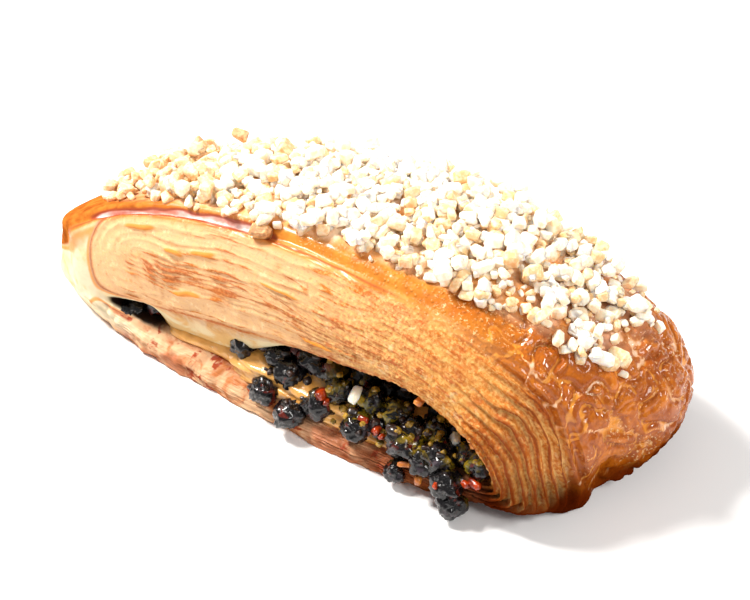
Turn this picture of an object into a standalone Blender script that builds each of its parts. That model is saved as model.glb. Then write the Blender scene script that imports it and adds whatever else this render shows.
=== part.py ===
"""A danish pastry: a folded, laminated dough shell with an open mouth in its cut side, pearl sugar on its crown,
and a custard and chocolate-chip filling. It rests on its flat base, with its length along X and its mouth at -Y."""

import math
import random

import bmesh
import bpy
import numpy as np
from mathutils import Matrix, Vector, noise
from mathutils.bvhtree import BVHTree

# Driving dimensions, in metres.
MM = 0.001
LENGTH = 142 * MM
DEPTH = 60 * MM
HEIGHT = 44 * MM
MIDDLE = (2.1 * MM, 1.2 * MM, 0.0)
CLEARANCE = 0.35 * MM
TRIES = 4000

CRUST_COLOUR, CRUST_ROUGHNESS = (0.72, 0.36, 0.10), 0.4
FILLING_COLOUR, FILLING_ROUGHNESS = (0.20, 0.12, 0.05), 0.35
SHARP_ANGLE = math.radians(35)

# The dough is a loft through hoops, closed curves that run round the mouth. They start at the deep end of the
# hollow, come out over the rim and the cut, layered face, and go back over the crown to the closed back.
# A hoop is four points, right, top, left and bottom, in shares of half the length, half the depth and the height.
# Its four roundness values shape the quarters between them: 2 is an ellipse, more is squarer, less is straighter.
HOOPS = [
    ((0.37, 0.30, 0.25), (0.06, 0.30, 0.30), (-0.42, 0.30, 0.23), (0.00, 0.30, 0.20), (2.0, 2.0, 2.0, 2.0)),
    ((0.54, 0.10, 0.25), (0.14, 0.10, 0.39), (-0.59, 0.10, 0.23), (0.00, 0.10, 0.14), (2.0, 2.0, 2.2, 2.2)),
    ((0.61, -0.27, 0.25), (0.25, -0.27, 0.47), (-0.66, -0.27, 0.22), (0.00, -0.27, 0.10), (2.0, 1.5, 2.6, 2.4)),
    ((0.64, -0.63, 0.24), (0.34, -0.63, 0.53), (-0.70, -0.63, 0.20), (0.00, -0.60, 0.12), (1.7, 1.25, 2.8, 2.4)),
    ((0.655, -0.80, 0.23), (0.37, -0.85, 0.55), (-0.725, -0.85, 0.20), (0.00, -0.81, 0.13), (1.6, 1.2, 3.0, 2.4)),
    ((0.70, -0.88, 0.22), (0.32, -0.89, 0.62), (-0.77, -0.91, 0.23), (-0.03, -0.91, 0.10), (1.9, 1.4, 3.0, 2.6)),
    ((0.77, -0.83, 0.19), (0.25, -0.85, 0.73), (-0.83, -0.91, 0.26), (-0.06, -0.97, 0.07), (2.2, 1.7, 3.2, 2.8)),
    ((0.82, -0.68, 0.16), (0.17, -0.76, 0.84), (-0.88, -0.88, 0.28), (-0.08, -0.985, 0.04), (2.5, 1.9, 3.2, 3.0)),
    ((0.85, -0.45, 0.11), (0.06, -0.62, 0.92), (-0.95, -0.80, 0.26), (-0.08, -0.96, -0.02), (2.75, 2.1, 3.2, 3.0)),
    ((0.925, -0.17, 0.25), (0.09, -0.40, 0.97), (-1.04, -0.64, 0.22), (0.00, -0.73, -0.18), (2.5, 1.75, 2.8, 2.3)),
    ((0.97, 0.13, 0.31), (0.10, -0.07, 0.995), (-1.04, -0.32, 0.23), (0.00, -0.33, -0.30), (2.25, 1.6, 2.6, 2.1)),
    ((0.975, 0.43, 0.31), (0.12, 0.30, 0.98), (-0.98, 0.08, 0.23), (0.00, 0.13, -0.32), (2.15, 1.6, 2.5, 2.1)),
    ((0.93, 0.72, 0.28), (0.12, 0.63, 0.89), (-0.90, 0.44, 0.24), (0.00, 0.50, -0.27), (2.1, 1.7, 2.4, 2.0)),
    ((0.81, 0.90, 0.26), (0.10, 0.87, 0.72), (-0.77, 0.72, 0.24), (0.00, 0.77, -0.18), (2.0, 1.85, 2.2, 2.0)),
    ((0.59, 0.99, 0.23), (0.06, 0.98, 0.50), (-0.58, 0.90, 0.23), (0.00, 0.91, -0.05), (2.0, 2.0, 2.0, 2.0)),
    ((0.28, 1.01, 0.23), (0.03, 1.01, 0.32), (-0.28, 0.97, 0.24), (0.00, 0.99, 0.14), (2.0, 2.0, 2.0, 2.0)),
]
RIM, RIDGE = 4, 8
LAST_HOOP = len(HOOPS) - 1

# The layers of the cut face, between the rim and the ridge. Their left ends fold back round an eye.
LAYERS = 8
LAYER_SWELL = 1.15 * MM
LAYER_ROUNDNESS = 2.5
LAYER_STEPS = (0.1, -0.5, 0.5, -0.2, 0.3, -0.6, 0.4, 0.0, 0.6, -0.3)
STEP_SHARE = 0.45
SWELL_MIDDLE = 0.35
EYE_X, EYE_REACH = -40 * MM, 14 * MM
EYE_EDGE = (1.06, 0.94)
FACE_START = (RIM - 0.3, RIM + 0.2)
FACE_END = (RIDGE + 0.3, RIDGE - 0.1)
LOWER_LEFT_CORNER, CORNER_FADE = 2.45, (0.5, 0.75)

# Folds that run along a row: height, row, width in rows, middle turn, half span and fade in turns.
FOLDS = (
    (0.9 * MM, 8.05, 0.22, 1.3, 0.4, 0.3),
    (-1.9 * MM, 8.1, 0.25, 0.2, 0.35, 0.35),
)
# Folds that run across the rows: height, turn, width in turns, and the rows between which they fade in.
CROSS_FOLDS = (
    (-1.5 * MM, 1.80, 0.05, 7.0, 8.0),
    (0.8 * MM, 1.97, 0.12, 6.5, 8.0),
)
CROSS_FOLD_END = (13.0, 11.0)
# The seam just above the base, and the soft waves in the skin, which are deepest at the right end.
SEAM_DEPTH, SEAM_HEIGHT, SEAM_WIDTH = 0.7 * MM, 5 * MM, 1 * MM
WIDE_WAVE, WIDE_WAVE_SIZE = 0.9 * MM, 26 * MM
WAVE, WAVE_AT_RIGHT, WAVE_SIZE = 0.35 * MM, 0.55 * MM, 11 * MM
RIGHT_END = (25 * MM, 55 * MM)
WIDE_WAVE_SHIFT, WAVE_SHIFT = 8.0, 3.0
SKIN_START = (RIDGE - 0.2, RIDGE + 0.6)

# The flap of dough that closes the left half of the mouth: its row, thickness in rows, and ends in quarter turns.
FLAP_DROP = 8.0 * MM
FLAP_REST = 6.3 * MM
FLAP_ROW, FLAP_THICKNESS = 3.55, 0.4
FLAP_RIGHT = (1.33, 1.54)
FLAP_LEFT = (1.85, 1.75)

# The pearl sugar lies in a field on the crown, squarish in plan. Two grains stand by themselves: one on edge near
# the middle, and one that has slid down to the ridge.
SUGAR_MIDDLE = (1 * MM, 1.5 * MM)
SUGAR_REACH = (63 * MM, 17.5 * MM)
SUGAR_SLANT = 0.08
SUGAR_SQUARENESS = 4
SUGAR_GRAINS = 112
GRAIN_RADIUS = (1.5 * MM, 2.2 * MM)
GRAIN_SPACING = 1.55
GRAIN_ROUGHNESS = 0.2
GRAIN_LIFT = (0.25, 0.6)
SUGAR_SEED = 11
LONE_GRAINS = (
    (-24.0 * MM, 6.0 * MM, 2.6 * MM),
    (-11.5 * MM, -17.6 * MM, 3.0 * MM),
)

# Every grain and chip is a rounded lump, a little longer than wide and flatter than long.
LUMP_TILT = 0.6
LUMP_STRETCH = ((0.9, 1.15), (0.85, 1.1), (0.72, 0.95))
LUMP_DENTS = 1.7

# The mesh of the dough: points round a hoop, over the mouth and under it, and rows from hollow to back.
POINTS_OVER, POINTS_UNDER = 42, 24
HOLLOW_ROWS = (0.1, 1.0, 2.0, 2.8, 3.2, 3.5, 3.75)
SKIN_ROWS = 12
NORMAL_STEP = 0.02
POLE_RADIUS = 1e-4

# The filling is a mound of custard that runs out over the lower lip, with chocolate chips on it.
CUSTARD_MIDDLE = (-1.0 * MM, -8.0 * MM, 5.5 * MM)
CUSTARD_REACH = (49.0 * MM, 18.8 * MM, 8.5 * MM)
CHIP_RADIUS = 3.35 * MM
CHIP_ROUGHNESS = 0.5
CHIP_SEED = 5
MOUND_POINTS, MOUND_ROWS = 36, 12
MOUND_ROUGHNESS, MOUND_DENTS = 0.16, 3.5
INNER_CHIPS = 15
INNER_CHIP_SPAN = ((-14 * MM, 44 * MM), (-22 * MM, -3 * MM))
INNER_CHIP_SPACING, INNER_CHIP_LIFT = 1.6 * CHIP_RADIUS, 0.3 * CHIP_RADIUS
CHIP_SIZES = (0.9, 1.1)

# The chips that lie at the front: the middle of each, in millimetres, and its size against the others.
FRONT_CHIPS = (
    (-45.6, -22.8, 6.0, 0.9),
    (-42.0, -18.5, 6.5, 1.1),
    (-5.6, -26.6, 6.2, 1.0),
    (-1.6, -22.5, 10.4, 1.0),
    (1.8, -27.9, 5.0, 1.0),
    (7.2, -24.5, 8.0, 1.1),
    (17.2, -25.2, 7.6, 1.0),
    (21.0, -22.5, 8.0, 0.9),
    (28.6, -24.5, 8.6, 1.05),
    (34.0, -26.0, 8.2, 0.9),
    (36.8, -24.2, 9.4, 1.1),
    (41.0, -27.6, 7.0, 1.1),
    (42.6, -28.0, 3.6, 1.0),
    (28.4, -27.2, 3.4, 0.7),
    (41.9, -21.0, 10.8, 0.95),
    (46.0, -23.3, 11.4, 0.8),
)


def clear_scene():
    for old in list(bpy.data.objects):
        bpy.data.objects.remove(old)


def material(name, colour, roughness):
    made = bpy.data.materials.new(name)
    made.use_nodes = True
    shader = made.node_tree.nodes["Principled BSDF"]
    shader.inputs["Base Color"].default_value = (*colour, 1)
    shader.inputs["Roughness"].default_value = roughness
    shader.inputs["Metallic"].default_value = 0
    return made


def ease(value, low, high):
    """0 below low, 1 above high, and smooth between them."""
    share = np.clip((value - low) / (high - low), 0, 1)
    return share * share * (3 - 2 * share)


def bump_at(value, middle, width):
    return np.exp(-(((value - middle) / width) ** 2))


def noise_at(points, size, shift):
    """Smooth noise from -1 to 1 at each point, with waves of about this size."""
    away = Vector((shift, 2 * shift, 3 * shift))
    return np.array([noise.noise(Vector(point) / size + away) for point in points])


def hoop_points(hoop, turn):
    """Points of a hoop, for turns in quarters: 0 is its right, 1 its top, 2 its left and 3 its bottom."""
    turn = np.mod(turn, 4)
    quarter = np.floor(turn).astype(int) % 4
    angle = (turn - np.floor(turn)) * math.pi / 2
    corners = np.array(hoop[:4])
    start, end = corners[quarter], corners[(quarter + 1) % 4]
    power = 2 / np.array(hoop[4])[quarter]
    across, along = np.cos(angle) ** power, np.sin(angle) ** power
    from_side = quarter % 2 == 0
    share = np.stack(
        [
            np.where(from_side, 1 - across, along),
            np.sin(angle) ** 2,
            np.where(from_side, along, 1 - across),
        ],
        axis=1,
    )
    return (start + (end - start) * share) * (LENGTH / 2, DEPTH / 2, HEIGHT) + MIDDLE


def loft(turn, row):
    """Points of the smooth surface through the hoops. Row 0 is the first hoop, and LAST_HOOP is the last."""
    hoops = np.stack([hoop_points(hoop, turn) for hoop in HOOPS])
    row = np.clip(row, 0, LAST_HOOP - 1e-6)
    first = np.floor(row).astype(int)
    share = (row - first)[:, None]
    each = np.arange(len(turn))
    before = hoops[np.maximum(first - 1, 0), each]
    here = hoops[first, each]
    after = hoops[first + 1, each]
    beyond = hoops[np.minimum(first + 2, LAST_HOOP), each]
    return 0.5 * (
        2 * here
        + (after - before) * share
        + (2 * before - 5 * here + 4 * after - beyond) * share**2
        + (3 * here - before - 3 * after + beyond) * share**3
    )


def outward(turn, row):
    """Unit normals of the loft."""
    round_way = loft(turn + NORMAL_STEP, row) - loft(turn - NORMAL_STEP, row)
    further, nearer = np.minimum(row + NORMAL_STEP, LAST_HOOP), np.maximum(row - NORMAL_STEP, 0)
    back_way = loft(turn, further) - loft(turn, nearer)
    normal = np.cross(round_way, back_way)
    return normal / np.maximum(np.linalg.norm(normal, axis=1), 1e-12)[:, None]


def turns_away(turn, middle):
    return np.abs(np.mod(turn - middle + 2, 4) - 2)


def layer_relief(turn, row, points):
    """The swell of each layer of the cut face, which folds back on itself round an eye at its left end."""
    height = 2 * (row - RIM) / (RIDGE - RIM) - 1
    past_eye = np.maximum(0, (EYE_X - points[:, 0]) / EYE_REACH)
    folded = np.cbrt(past_eye**3 + np.abs(height) ** 3)
    count = folded * LAYERS / 2
    number = np.floor(count).astype(int)
    across = 2 * (count - number) - 1
    below = height < 0
    step = np.array(LAYER_STEPS)[(number + LAYERS // 2 * below) % len(LAYER_STEPS)]
    swell = SWELL_MIDDLE - np.abs(across) ** LAYER_ROUNDNESS + STEP_SHARE * step
    shown = ease(folded, *EYE_EDGE) * ease(row, *FACE_START) * ease(row, *FACE_END)
    return LAYER_SWELL * swell * shown * ease(turns_away(turn, LOWER_LEFT_CORNER), *CORNER_FADE)


def fold_relief(turn, row, points):
    """The rolled ridge, the crease beside the right end, the groove and leaf at the left end, and the seam."""
    lift = -SEAM_DEPTH * bump_at(points[:, 2], SEAM_HEIGHT, SEAM_WIDTH) * ease(row, RIDGE, RIDGE + 1)
    for height, along, width, middle, span, fade in FOLDS:
        lift += height * bump_at(row, along, width) * ease(turns_away(turn, middle), span + fade, span)
    for height, along, width, first, full in CROSS_FOLDS:
        lift += height * bump_at(turn, along, width) * ease(row, first, full) * ease(row, *CROSS_FOLD_END)
    return lift


def wave_relief(row, points):
    """Soft waves in the skin, deepest at the right end."""
    depth = WAVE + WAVE_AT_RIGHT * ease(points[:, 0], *RIGHT_END)
    wide = WIDE_WAVE * noise_at(points, WIDE_WAVE_SIZE, WIDE_WAVE_SHIFT)
    return (wide + depth * noise_at(points, WAVE_SIZE, WAVE_SHIFT)) * ease(row, *SKIN_START)


def hang_flap(turn, row, points):
    """A fold of dough hangs from the ceiling in the left half of the mouth, down to the lip."""
    sag = FLAP_DROP * bump_at(row, FLAP_ROW, FLAP_THICKNESS) * ease(turn, *FLAP_RIGHT) * ease(turn, *FLAP_LEFT)
    lowered = np.maximum(points[:, 2] - sag, FLAP_REST)
    points[:, 2] = np.where(sag > 0.1 * MM, lowered, points[:, 2])
    return points


def dough_points(turn, row):
    """Points of the dough's surface, with its relief and its flat base."""
    points = loft(turn, row)
    lift = layer_relief(turn, row, points) + fold_relief(turn, row, points) + wave_relief(row, points)
    points = points + outward(turn, row) * lift[:, None]
    points[:, 2] = np.maximum(points[:, 2], 0)
    return hang_flap(turn, row, points)


def dough_rows():
    """Rows from the deep end of the hollow to the back, with one on each layer's crest and each groove."""
    face = np.linspace(RIM, RIDGE, 2 * LAYERS + 1)
    skin = np.linspace(RIDGE, LAST_HOOP, SKIN_ROWS + 1)[1:]
    return np.concatenate([HOLLOW_ROWS, face, skin])


def mesh_object(name, bm, finish):
    mesh = bpy.data.meshes.new(name)
    bm.to_mesh(mesh)
    bm.free()
    mesh.materials.append(finish)
    made = bpy.data.objects.new(name, mesh)
    bpy.context.collection.objects.link(made)
    return made


def dough_shell(name, finish, grown=0.0):
    """A sphere whose rows become the rows of the dough, grown outwards by a distance."""
    rows = dough_rows()
    around = POINTS_OVER + POINTS_UNDER
    bm = bmesh.new()
    bmesh.ops.create_uvsphere(bm, u_segments=around, v_segments=len(rows) + 1, radius=1)
    turn, row = np.empty(len(bm.verts)), np.empty(len(bm.verts))
    for vert in bm.verts:
        level = round(math.acos(max(-1.0, min(1.0, vert.co.z))) / math.pi * (len(rows) + 1))
        step = round(math.atan2(vert.co.y, vert.co.x) / math.tau * around) % around
        if step <= POINTS_OVER:
            turn[vert.index] = 2 * step / POINTS_OVER
        else:
            turn[vert.index] = 2 + 2 * (step - POINTS_OVER) / POINTS_UNDER
        row[vert.index] = rows[min(max(level, 1), len(rows)) - 1]
    points = dough_points(turn, row)
    poles = [vert for vert in bm.verts if math.hypot(vert.co.x, vert.co.y) < POLE_RADIUS]
    for vert in bm.verts:
        vert.co = points[vert.index]
    for vert in poles:
        ring = [edge.other_vert(vert).co for edge in vert.link_edges]
        vert.co = sum(ring, Vector()) / len(ring)
    bmesh.ops.recalc_face_normals(bm, faces=bm.faces)
    bmesh.ops.triangulate(bm, faces=bm.faces)
    bm.normal_update()
    for vert, normal in [(vert, vert.normal.copy()) for vert in bm.verts]:
        vert.co += normal * grown
    return mesh_object(name, bm, finish)


def lump(name, place, radius, detail, roughness, rng, finish):
    """A small rough lump, a rounded solid whose points are pushed in and out, turned at random."""
    bm = bmesh.new()
    bmesh.ops.create_icosphere(bm, subdivisions=detail, radius=1)
    tilt = rng.uniform(-LUMP_TILT, LUMP_TILT)
    turned = Matrix.Rotation(rng.uniform(0, math.tau), 3, "Z") @ Matrix.Rotation(tilt, 3, "X")
    stretch = Vector([rng.uniform(*span) for span in LUMP_STRETCH])
    for vert in bm.verts:
        rough = 1 + roughness * noise.noise(vert.co * LUMP_DENTS + Vector(place) / MM)
        vert.co = Vector(place) + turned @ (vert.co * stretch * radius * rough)
    return mesh_object(name, bm, finish)


def surface_tree(solid):
    mesh = solid.data
    return BVHTree.FromPolygons([vert.co for vert in mesh.vertices], [list(face.vertices) for face in mesh.polygons])


def in_sugar_field(x, y):
    across = (x - SUGAR_MIDDLE[0]) / SUGAR_REACH[0]
    along = (y - SUGAR_MIDDLE[1] - SUGAR_SLANT * x) / SUGAR_REACH[1]
    return abs(across) ** SUGAR_SQUARENESS + abs(along) ** SUGAR_SQUARENESS < 1


def sugar_places(dough):
    """The middle and radius of each grain, the largest first, well spread over the field."""
    rng = random.Random(SUGAR_SEED)
    tree = surface_tree(dough)
    above = Vector((0, 0, 2 * HEIGHT))
    radii = sorted((rng.uniform(*GRAIN_RADIUS) for _ in range(SUGAR_GRAINS)), reverse=True)
    chosen = []
    plan = [(x, y, radius) for x, y, radius in LONE_GRAINS]
    for radius in radii:
        for _ in range(TRIES):
            x = rng.uniform(SUGAR_MIDDLE[0] - SUGAR_REACH[0], SUGAR_MIDDLE[0] + SUGAR_REACH[0])
            y = rng.uniform(-DEPTH / 2, DEPTH / 2)
            apart = min(math.hypot(x - a, y - b) - GRAIN_SPACING * (radius + c) / 2 for a, b, c in plan)
            if in_sugar_field(x, y) and apart > radius / 2:
                plan.append((x, y, radius))
                break
    for x, y, radius in plan:
        hit, normal, _, _ = tree.ray_cast(Vector((x, y, 0)) + above, Vector((0, 0, -1)))
        chosen.append((hit + normal * radius * rng.uniform(*GRAIN_LIFT), radius))
    return chosen


def collection_of(name, solids):
    group = bpy.data.collections.new(name)
    bpy.context.scene.collection.children.link(group)
    for solid in solids:
        bpy.context.collection.objects.unlink(solid)
        group.objects.link(solid)
    return group


def apply_modifiers(solid):
    bpy.context.view_layer.update()
    shaped = solid.evaluated_get(bpy.context.evaluated_depsgraph_get())
    shaped_mesh = bpy.data.meshes.new_from_object(shaped)
    solid.modifiers.clear()
    solid.data = shaped_mesh


def fuse(solid, name, pieces):
    """One union of a solid with many pieces, which are then removed."""
    group = collection_of(name, pieces)
    union = solid.modifiers.new(name, "BOOLEAN")
    union.operation = "UNION"
    union.operand_type = "COLLECTION"
    union.collection = group
    apply_modifiers(solid)
    for piece in pieces:
        bpy.data.objects.remove(piece)
    bpy.data.collections.remove(group)


def cut(solid, cutter):
    """The clearance shell comes close to itself in the grooves between the layers, hence the MANIFOLD solver."""
    difference = solid.modifiers.new(cutter.name, "BOOLEAN")
    difference.operation = "DIFFERENCE"
    difference.solver = "MANIFOLD"
    difference.object = cutter
    apply_modifiers(solid)
    bpy.data.objects.remove(cutter)


def add_sugar(dough, finish):
    rng = random.Random(SUGAR_SEED)
    grains = [
        lump(f"grain_{number}", place, radius, 1, GRAIN_ROUGHNESS, rng, finish)
        for number, (place, radius) in enumerate(sugar_places(dough))
    ]
    fuse(dough, "sugar", grains)


def custard_mound(name, finish):
    """A low uneven mound that fills the hollow and runs out over the lip."""
    bm = bmesh.new()
    bmesh.ops.create_uvsphere(bm, u_segments=MOUND_POINTS, v_segments=MOUND_ROWS, radius=1)
    for vert in bm.verts:
        rough = 1 + MOUND_ROUGHNESS * noise.noise(vert.co * MOUND_DENTS)
        vert.co = Vector(CUSTARD_MIDDLE) + vert.co * Vector(CUSTARD_REACH) * rough
    return mesh_object(name, bm, finish)


def keep_largest_piece(solid):
    bm = bmesh.new()
    bm.from_mesh(solid.data)
    unseen = set(bm.verts)
    pieces = []
    while unseen:
        piece, growing = set(), [unseen.pop()]
        while growing:
            vert = growing.pop()
            piece.add(vert)
            near = {edge.other_vert(vert) for edge in vert.link_edges} & unseen
            unseen -= near
            growing.extend(near)
        pieces.append(piece)
    pieces.sort(key=len)
    for piece in pieces[:-1]:
        bmesh.ops.delete(bm, geom=list(piece), context="VERTS")
    bm.to_mesh(solid.data)
    bm.free()


def inner_chip_places(mound, rng):
    """Places on top of the mound, behind the front row of chips."""
    tree = surface_tree(mound)
    above = Vector((0, 0, 2 * HEIGHT))
    places = []
    for _ in range(TRIES):
        x, y = (rng.uniform(*span) for span in INNER_CHIP_SPAN)
        hit, normal, _, _ = tree.ray_cast(Vector((x, y, 0)) + above, Vector((0, 0, -1)))
        if hit and all((hit - place).length > INNER_CHIP_SPACING for place in places):
            places.append(hit + normal * INNER_CHIP_LIFT)
        if len(places) == INNER_CHIPS:
            break
    return places


def filling(name, finish):
    rng = random.Random(CHIP_SEED)
    mound = custard_mound(name, finish)
    places = inner_chip_places(mound, rng)
    chips = [
        lump(f"chip_{number}", place, CHIP_RADIUS * rng.uniform(*CHIP_SIZES), 1, CHIP_ROUGHNESS, rng, finish)
        for number, place in enumerate(places)
    ]
    chips += [
        lump(f"front_chip_{number}", Vector((x, y, z)) * MM, CHIP_RADIUS * size, 2, CHIP_ROUGHNESS, rng, finish)
        for number, (x, y, z, size) in enumerate(FRONT_CHIPS)
    ]
    fuse(mound, "chips", chips)
    cut(mound, dough_shell("clearance", finish, grown=CLEARANCE))
    keep_largest_piece(mound)
    return mound


def shade_round(solid):
    solid.data.shade_smooth()
    solid.data.set_sharp_from_angle(angle=SHARP_ANGLE)


def main():
    clear_scene()
    crust = material("dough", CRUST_COLOUR, CRUST_ROUGHNESS)
    custard = material("filling", FILLING_COLOUR, FILLING_ROUGHNESS)
    dough = dough_shell("dough", crust)
    add_sugar(dough, crust)
    shade_round(dough)
    shade_round(filling("filling", custard))


main()
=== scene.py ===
"""The looks of a danish pastry: its glazed crust, cut layers, hollow and hanging flap of dough, pearl sugar,
custard, chocolate chips and stray bits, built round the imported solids."""

import math
import random

import bmesh
import bpy
import numpy as np
from mathutils import Matrix, Vector, noise
from mathutils.bvhtree import BVHTree


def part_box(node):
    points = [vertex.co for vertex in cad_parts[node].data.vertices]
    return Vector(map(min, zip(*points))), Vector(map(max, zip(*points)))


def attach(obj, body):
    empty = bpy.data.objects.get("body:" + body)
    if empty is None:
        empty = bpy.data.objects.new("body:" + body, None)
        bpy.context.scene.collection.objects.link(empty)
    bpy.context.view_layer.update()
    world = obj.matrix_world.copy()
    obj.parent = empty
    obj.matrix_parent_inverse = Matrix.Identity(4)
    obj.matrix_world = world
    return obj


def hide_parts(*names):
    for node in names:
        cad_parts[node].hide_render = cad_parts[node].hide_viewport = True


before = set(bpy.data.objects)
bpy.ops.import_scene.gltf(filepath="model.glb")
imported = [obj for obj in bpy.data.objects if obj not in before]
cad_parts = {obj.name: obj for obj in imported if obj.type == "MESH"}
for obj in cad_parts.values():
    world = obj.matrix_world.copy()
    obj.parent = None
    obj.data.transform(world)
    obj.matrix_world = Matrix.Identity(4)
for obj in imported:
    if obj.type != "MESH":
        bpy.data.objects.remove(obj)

bl_info = {
    "name": "Danish pastry",
    "version": (1, 0, 0),
    "blender": (4, 5, 0),
    "location": "3D View > Sidebar > Pastry",
    "description": "Builds a danish pastry with cut layers, pearl sugar and a chocolate-chip filling",
    "category": "Add Mesh",
}

MM = 0.001
LENGTH = 142 * MM
DEPTH = 60 * MM
HEIGHT = 44 * MM
MIDDLE = (2.1 * MM, 1.2 * MM, 0.0)

# The dough is a loft through hoops that run round its mouth, from the deep end of the hollow, over the rim and the
# cut face, to the closed back. Each is a right, top, left and bottom point, in shares of half the length, half the
# depth and the height, and the roundness of the quarters between them.
HOOPS = [
    ((0.37, 0.30, 0.25), (0.06, 0.30, 0.30), (-0.42, 0.30, 0.23), (0.00, 0.30, 0.20), (2.0, 2.0, 2.0, 2.0)),
    ((0.54, 0.10, 0.25), (0.14, 0.10, 0.39), (-0.59, 0.10, 0.23), (0.00, 0.10, 0.14), (2.0, 2.0, 2.2, 2.2)),
    ((0.61, -0.27, 0.25), (0.25, -0.27, 0.47), (-0.66, -0.27, 0.22), (0.00, -0.27, 0.10), (2.0, 1.5, 2.6, 2.4)),
    ((0.64, -0.63, 0.24), (0.34, -0.63, 0.53), (-0.70, -0.63, 0.20), (0.00, -0.60, 0.12), (1.7, 1.25, 2.8, 2.4)),
    ((0.655, -0.80, 0.23), (0.37, -0.85, 0.55), (-0.725, -0.85, 0.20), (0.00, -0.81, 0.13), (1.6, 1.2, 3.0, 2.4)),
    ((0.70, -0.88, 0.22), (0.32, -0.89, 0.62), (-0.77, -0.91, 0.23), (-0.03, -0.91, 0.10), (1.9, 1.4, 3.0, 2.6)),
    ((0.77, -0.83, 0.19), (0.25, -0.85, 0.73), (-0.83, -0.91, 0.26), (-0.06, -0.97, 0.07), (2.2, 1.7, 3.2, 2.8)),
    ((0.82, -0.68, 0.16), (0.17, -0.76, 0.84), (-0.88, -0.88, 0.28), (-0.08, -0.985, 0.04), (2.5, 1.9, 3.2, 3.0)),
    ((0.85, -0.45, 0.11), (0.06, -0.62, 0.92), (-0.95, -0.80, 0.26), (-0.08, -0.96, -0.02), (2.75, 2.1, 3.2, 3.0)),
    ((0.925, -0.17, 0.25), (0.09, -0.40, 0.97), (-1.04, -0.64, 0.22), (0.00, -0.73, -0.18), (2.5, 1.75, 2.8, 2.3)),
    ((0.97, 0.13, 0.31), (0.10, -0.07, 0.995), (-1.04, -0.32, 0.23), (0.00, -0.33, -0.30), (2.25, 1.6, 2.6, 2.1)),
    ((0.975, 0.43, 0.31), (0.12, 0.30, 0.98), (-0.98, 0.08, 0.23), (0.00, 0.13, -0.32), (2.15, 1.6, 2.5, 2.1)),
    ((0.93, 0.72, 0.28), (0.12, 0.63, 0.89), (-0.90, 0.44, 0.24), (0.00, 0.50, -0.27), (2.1, 1.7, 2.4, 2.0)),
    ((0.81, 0.90, 0.26), (0.10, 0.87, 0.72), (-0.77, 0.72, 0.24), (0.00, 0.77, -0.18), (2.0, 1.85, 2.2, 2.0)),
    ((0.59, 0.99, 0.23), (0.06, 0.98, 0.50), (-0.58, 0.90, 0.23), (0.00, 0.91, -0.05), (2.0, 2.0, 2.0, 2.0)),
    ((0.28, 1.01, 0.23), (0.03, 1.01, 0.32), (-0.28, 0.97, 0.24), (0.00, 0.99, 0.14), (2.0, 2.0, 2.0, 2.0)),
]
RIM, RIDGE = 4, 8
LAST_HOOP = len(HOOPS) - 1
NORMAL_STEP = 0.02

# The layers of the cut face, between the rim and the ridge. Their left ends fold back round an eye.
EDGES_ABOVE = (0, 0.14, 0.36, 0.50, 0.72, 0.90, 1.0, 1.3)
EDGES_BELOW = (0, 0.07, 0.14, 0.21, 0.29, 0.36, 0.72, 0.86, 1.0, 1.3)
LAYER_ROUNDNESS = 2.5
LAYER_STEPS = (0.1, -0.5, 0.5, -0.2, 0.3, -0.6, 0.4, 0.0, 0.6, -0.3)
STEP_SHARE = 0.30
SWELL_MIDDLE = 0.35
THICK_LAYER = 0.2
EDGE_WIDTH = 0.018
LAYER_WANDER = 0.10
LINE_STRETCH = 1.6
FOLD_MIDDLE, FOLD_AT_EYE, FOLD_AT_RIGHT = 0.08, 0.22, 0.28
EYE_X, EYE_REACH, EYE_SLANT = -41 * MM, 13 * MM, 2 * MM
EYE_SIDE = (-28 * MM, -44 * MM)
EYE_LOW = 0.22
EYE_EDGE = (1.06, 0.94)
FOLD_RUN = (-15 * MM, 20 * MM)
LEFT_HALF = (18 * MM, -15 * MM)
BUNDLE = (-0.07, 0.17)
BUNDLE_START, BUNDLE_END = (-50 * MM, -42 * MM), (48 * MM, 8 * MM)
# Gaps between the layers: middle in x, half length, place as a signed share, half width as a share.
GAPS = (
    (-41.5 * MM, 4.2 * MM, 0.60, 0.050),
    (-30.8 * MM, 2.6 * MM, 0.28, 0.040),
    (-23.4 * MM, 3.2 * MM, 0.38, 0.045),
    (-26.0 * MM, 3.6 * MM, -0.36, 0.040),
    (-3.0 * MM, 5.0 * MM, 0.20, 0.025),
    (8.0 * MM, 4.0 * MM, -0.45, 0.030),
)
SHINGLES = 2.7
SHINGLES_AT, SHINGLES_FADE = (0.1,), (0.62, 0.30)
BUBBLY = (-15 * MM, 28 * MM)
BUBBLE_HEIGHT, BUBBLE_SIZE = 0.22 * MM, 0.95 * MM
FACE_START = (RIM - 0.3, RIM + 0.2)
FACE_END = (RIDGE + 0.3, RIDGE - 0.1)
LOWER_LEFT_CORNER, CORNER_FADE = 2.45, (0.5, 0.75)

# Folds that run along a row: height, row, width in rows, middle turn, half span and fade in turns.
FOLDS = (
    (0.9 * MM, 8.05, 0.22, 1.3, 0.4, 0.3),
    (-1.9 * MM, 8.1, 0.25, 0.2, 0.35, 0.35),
)
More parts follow.
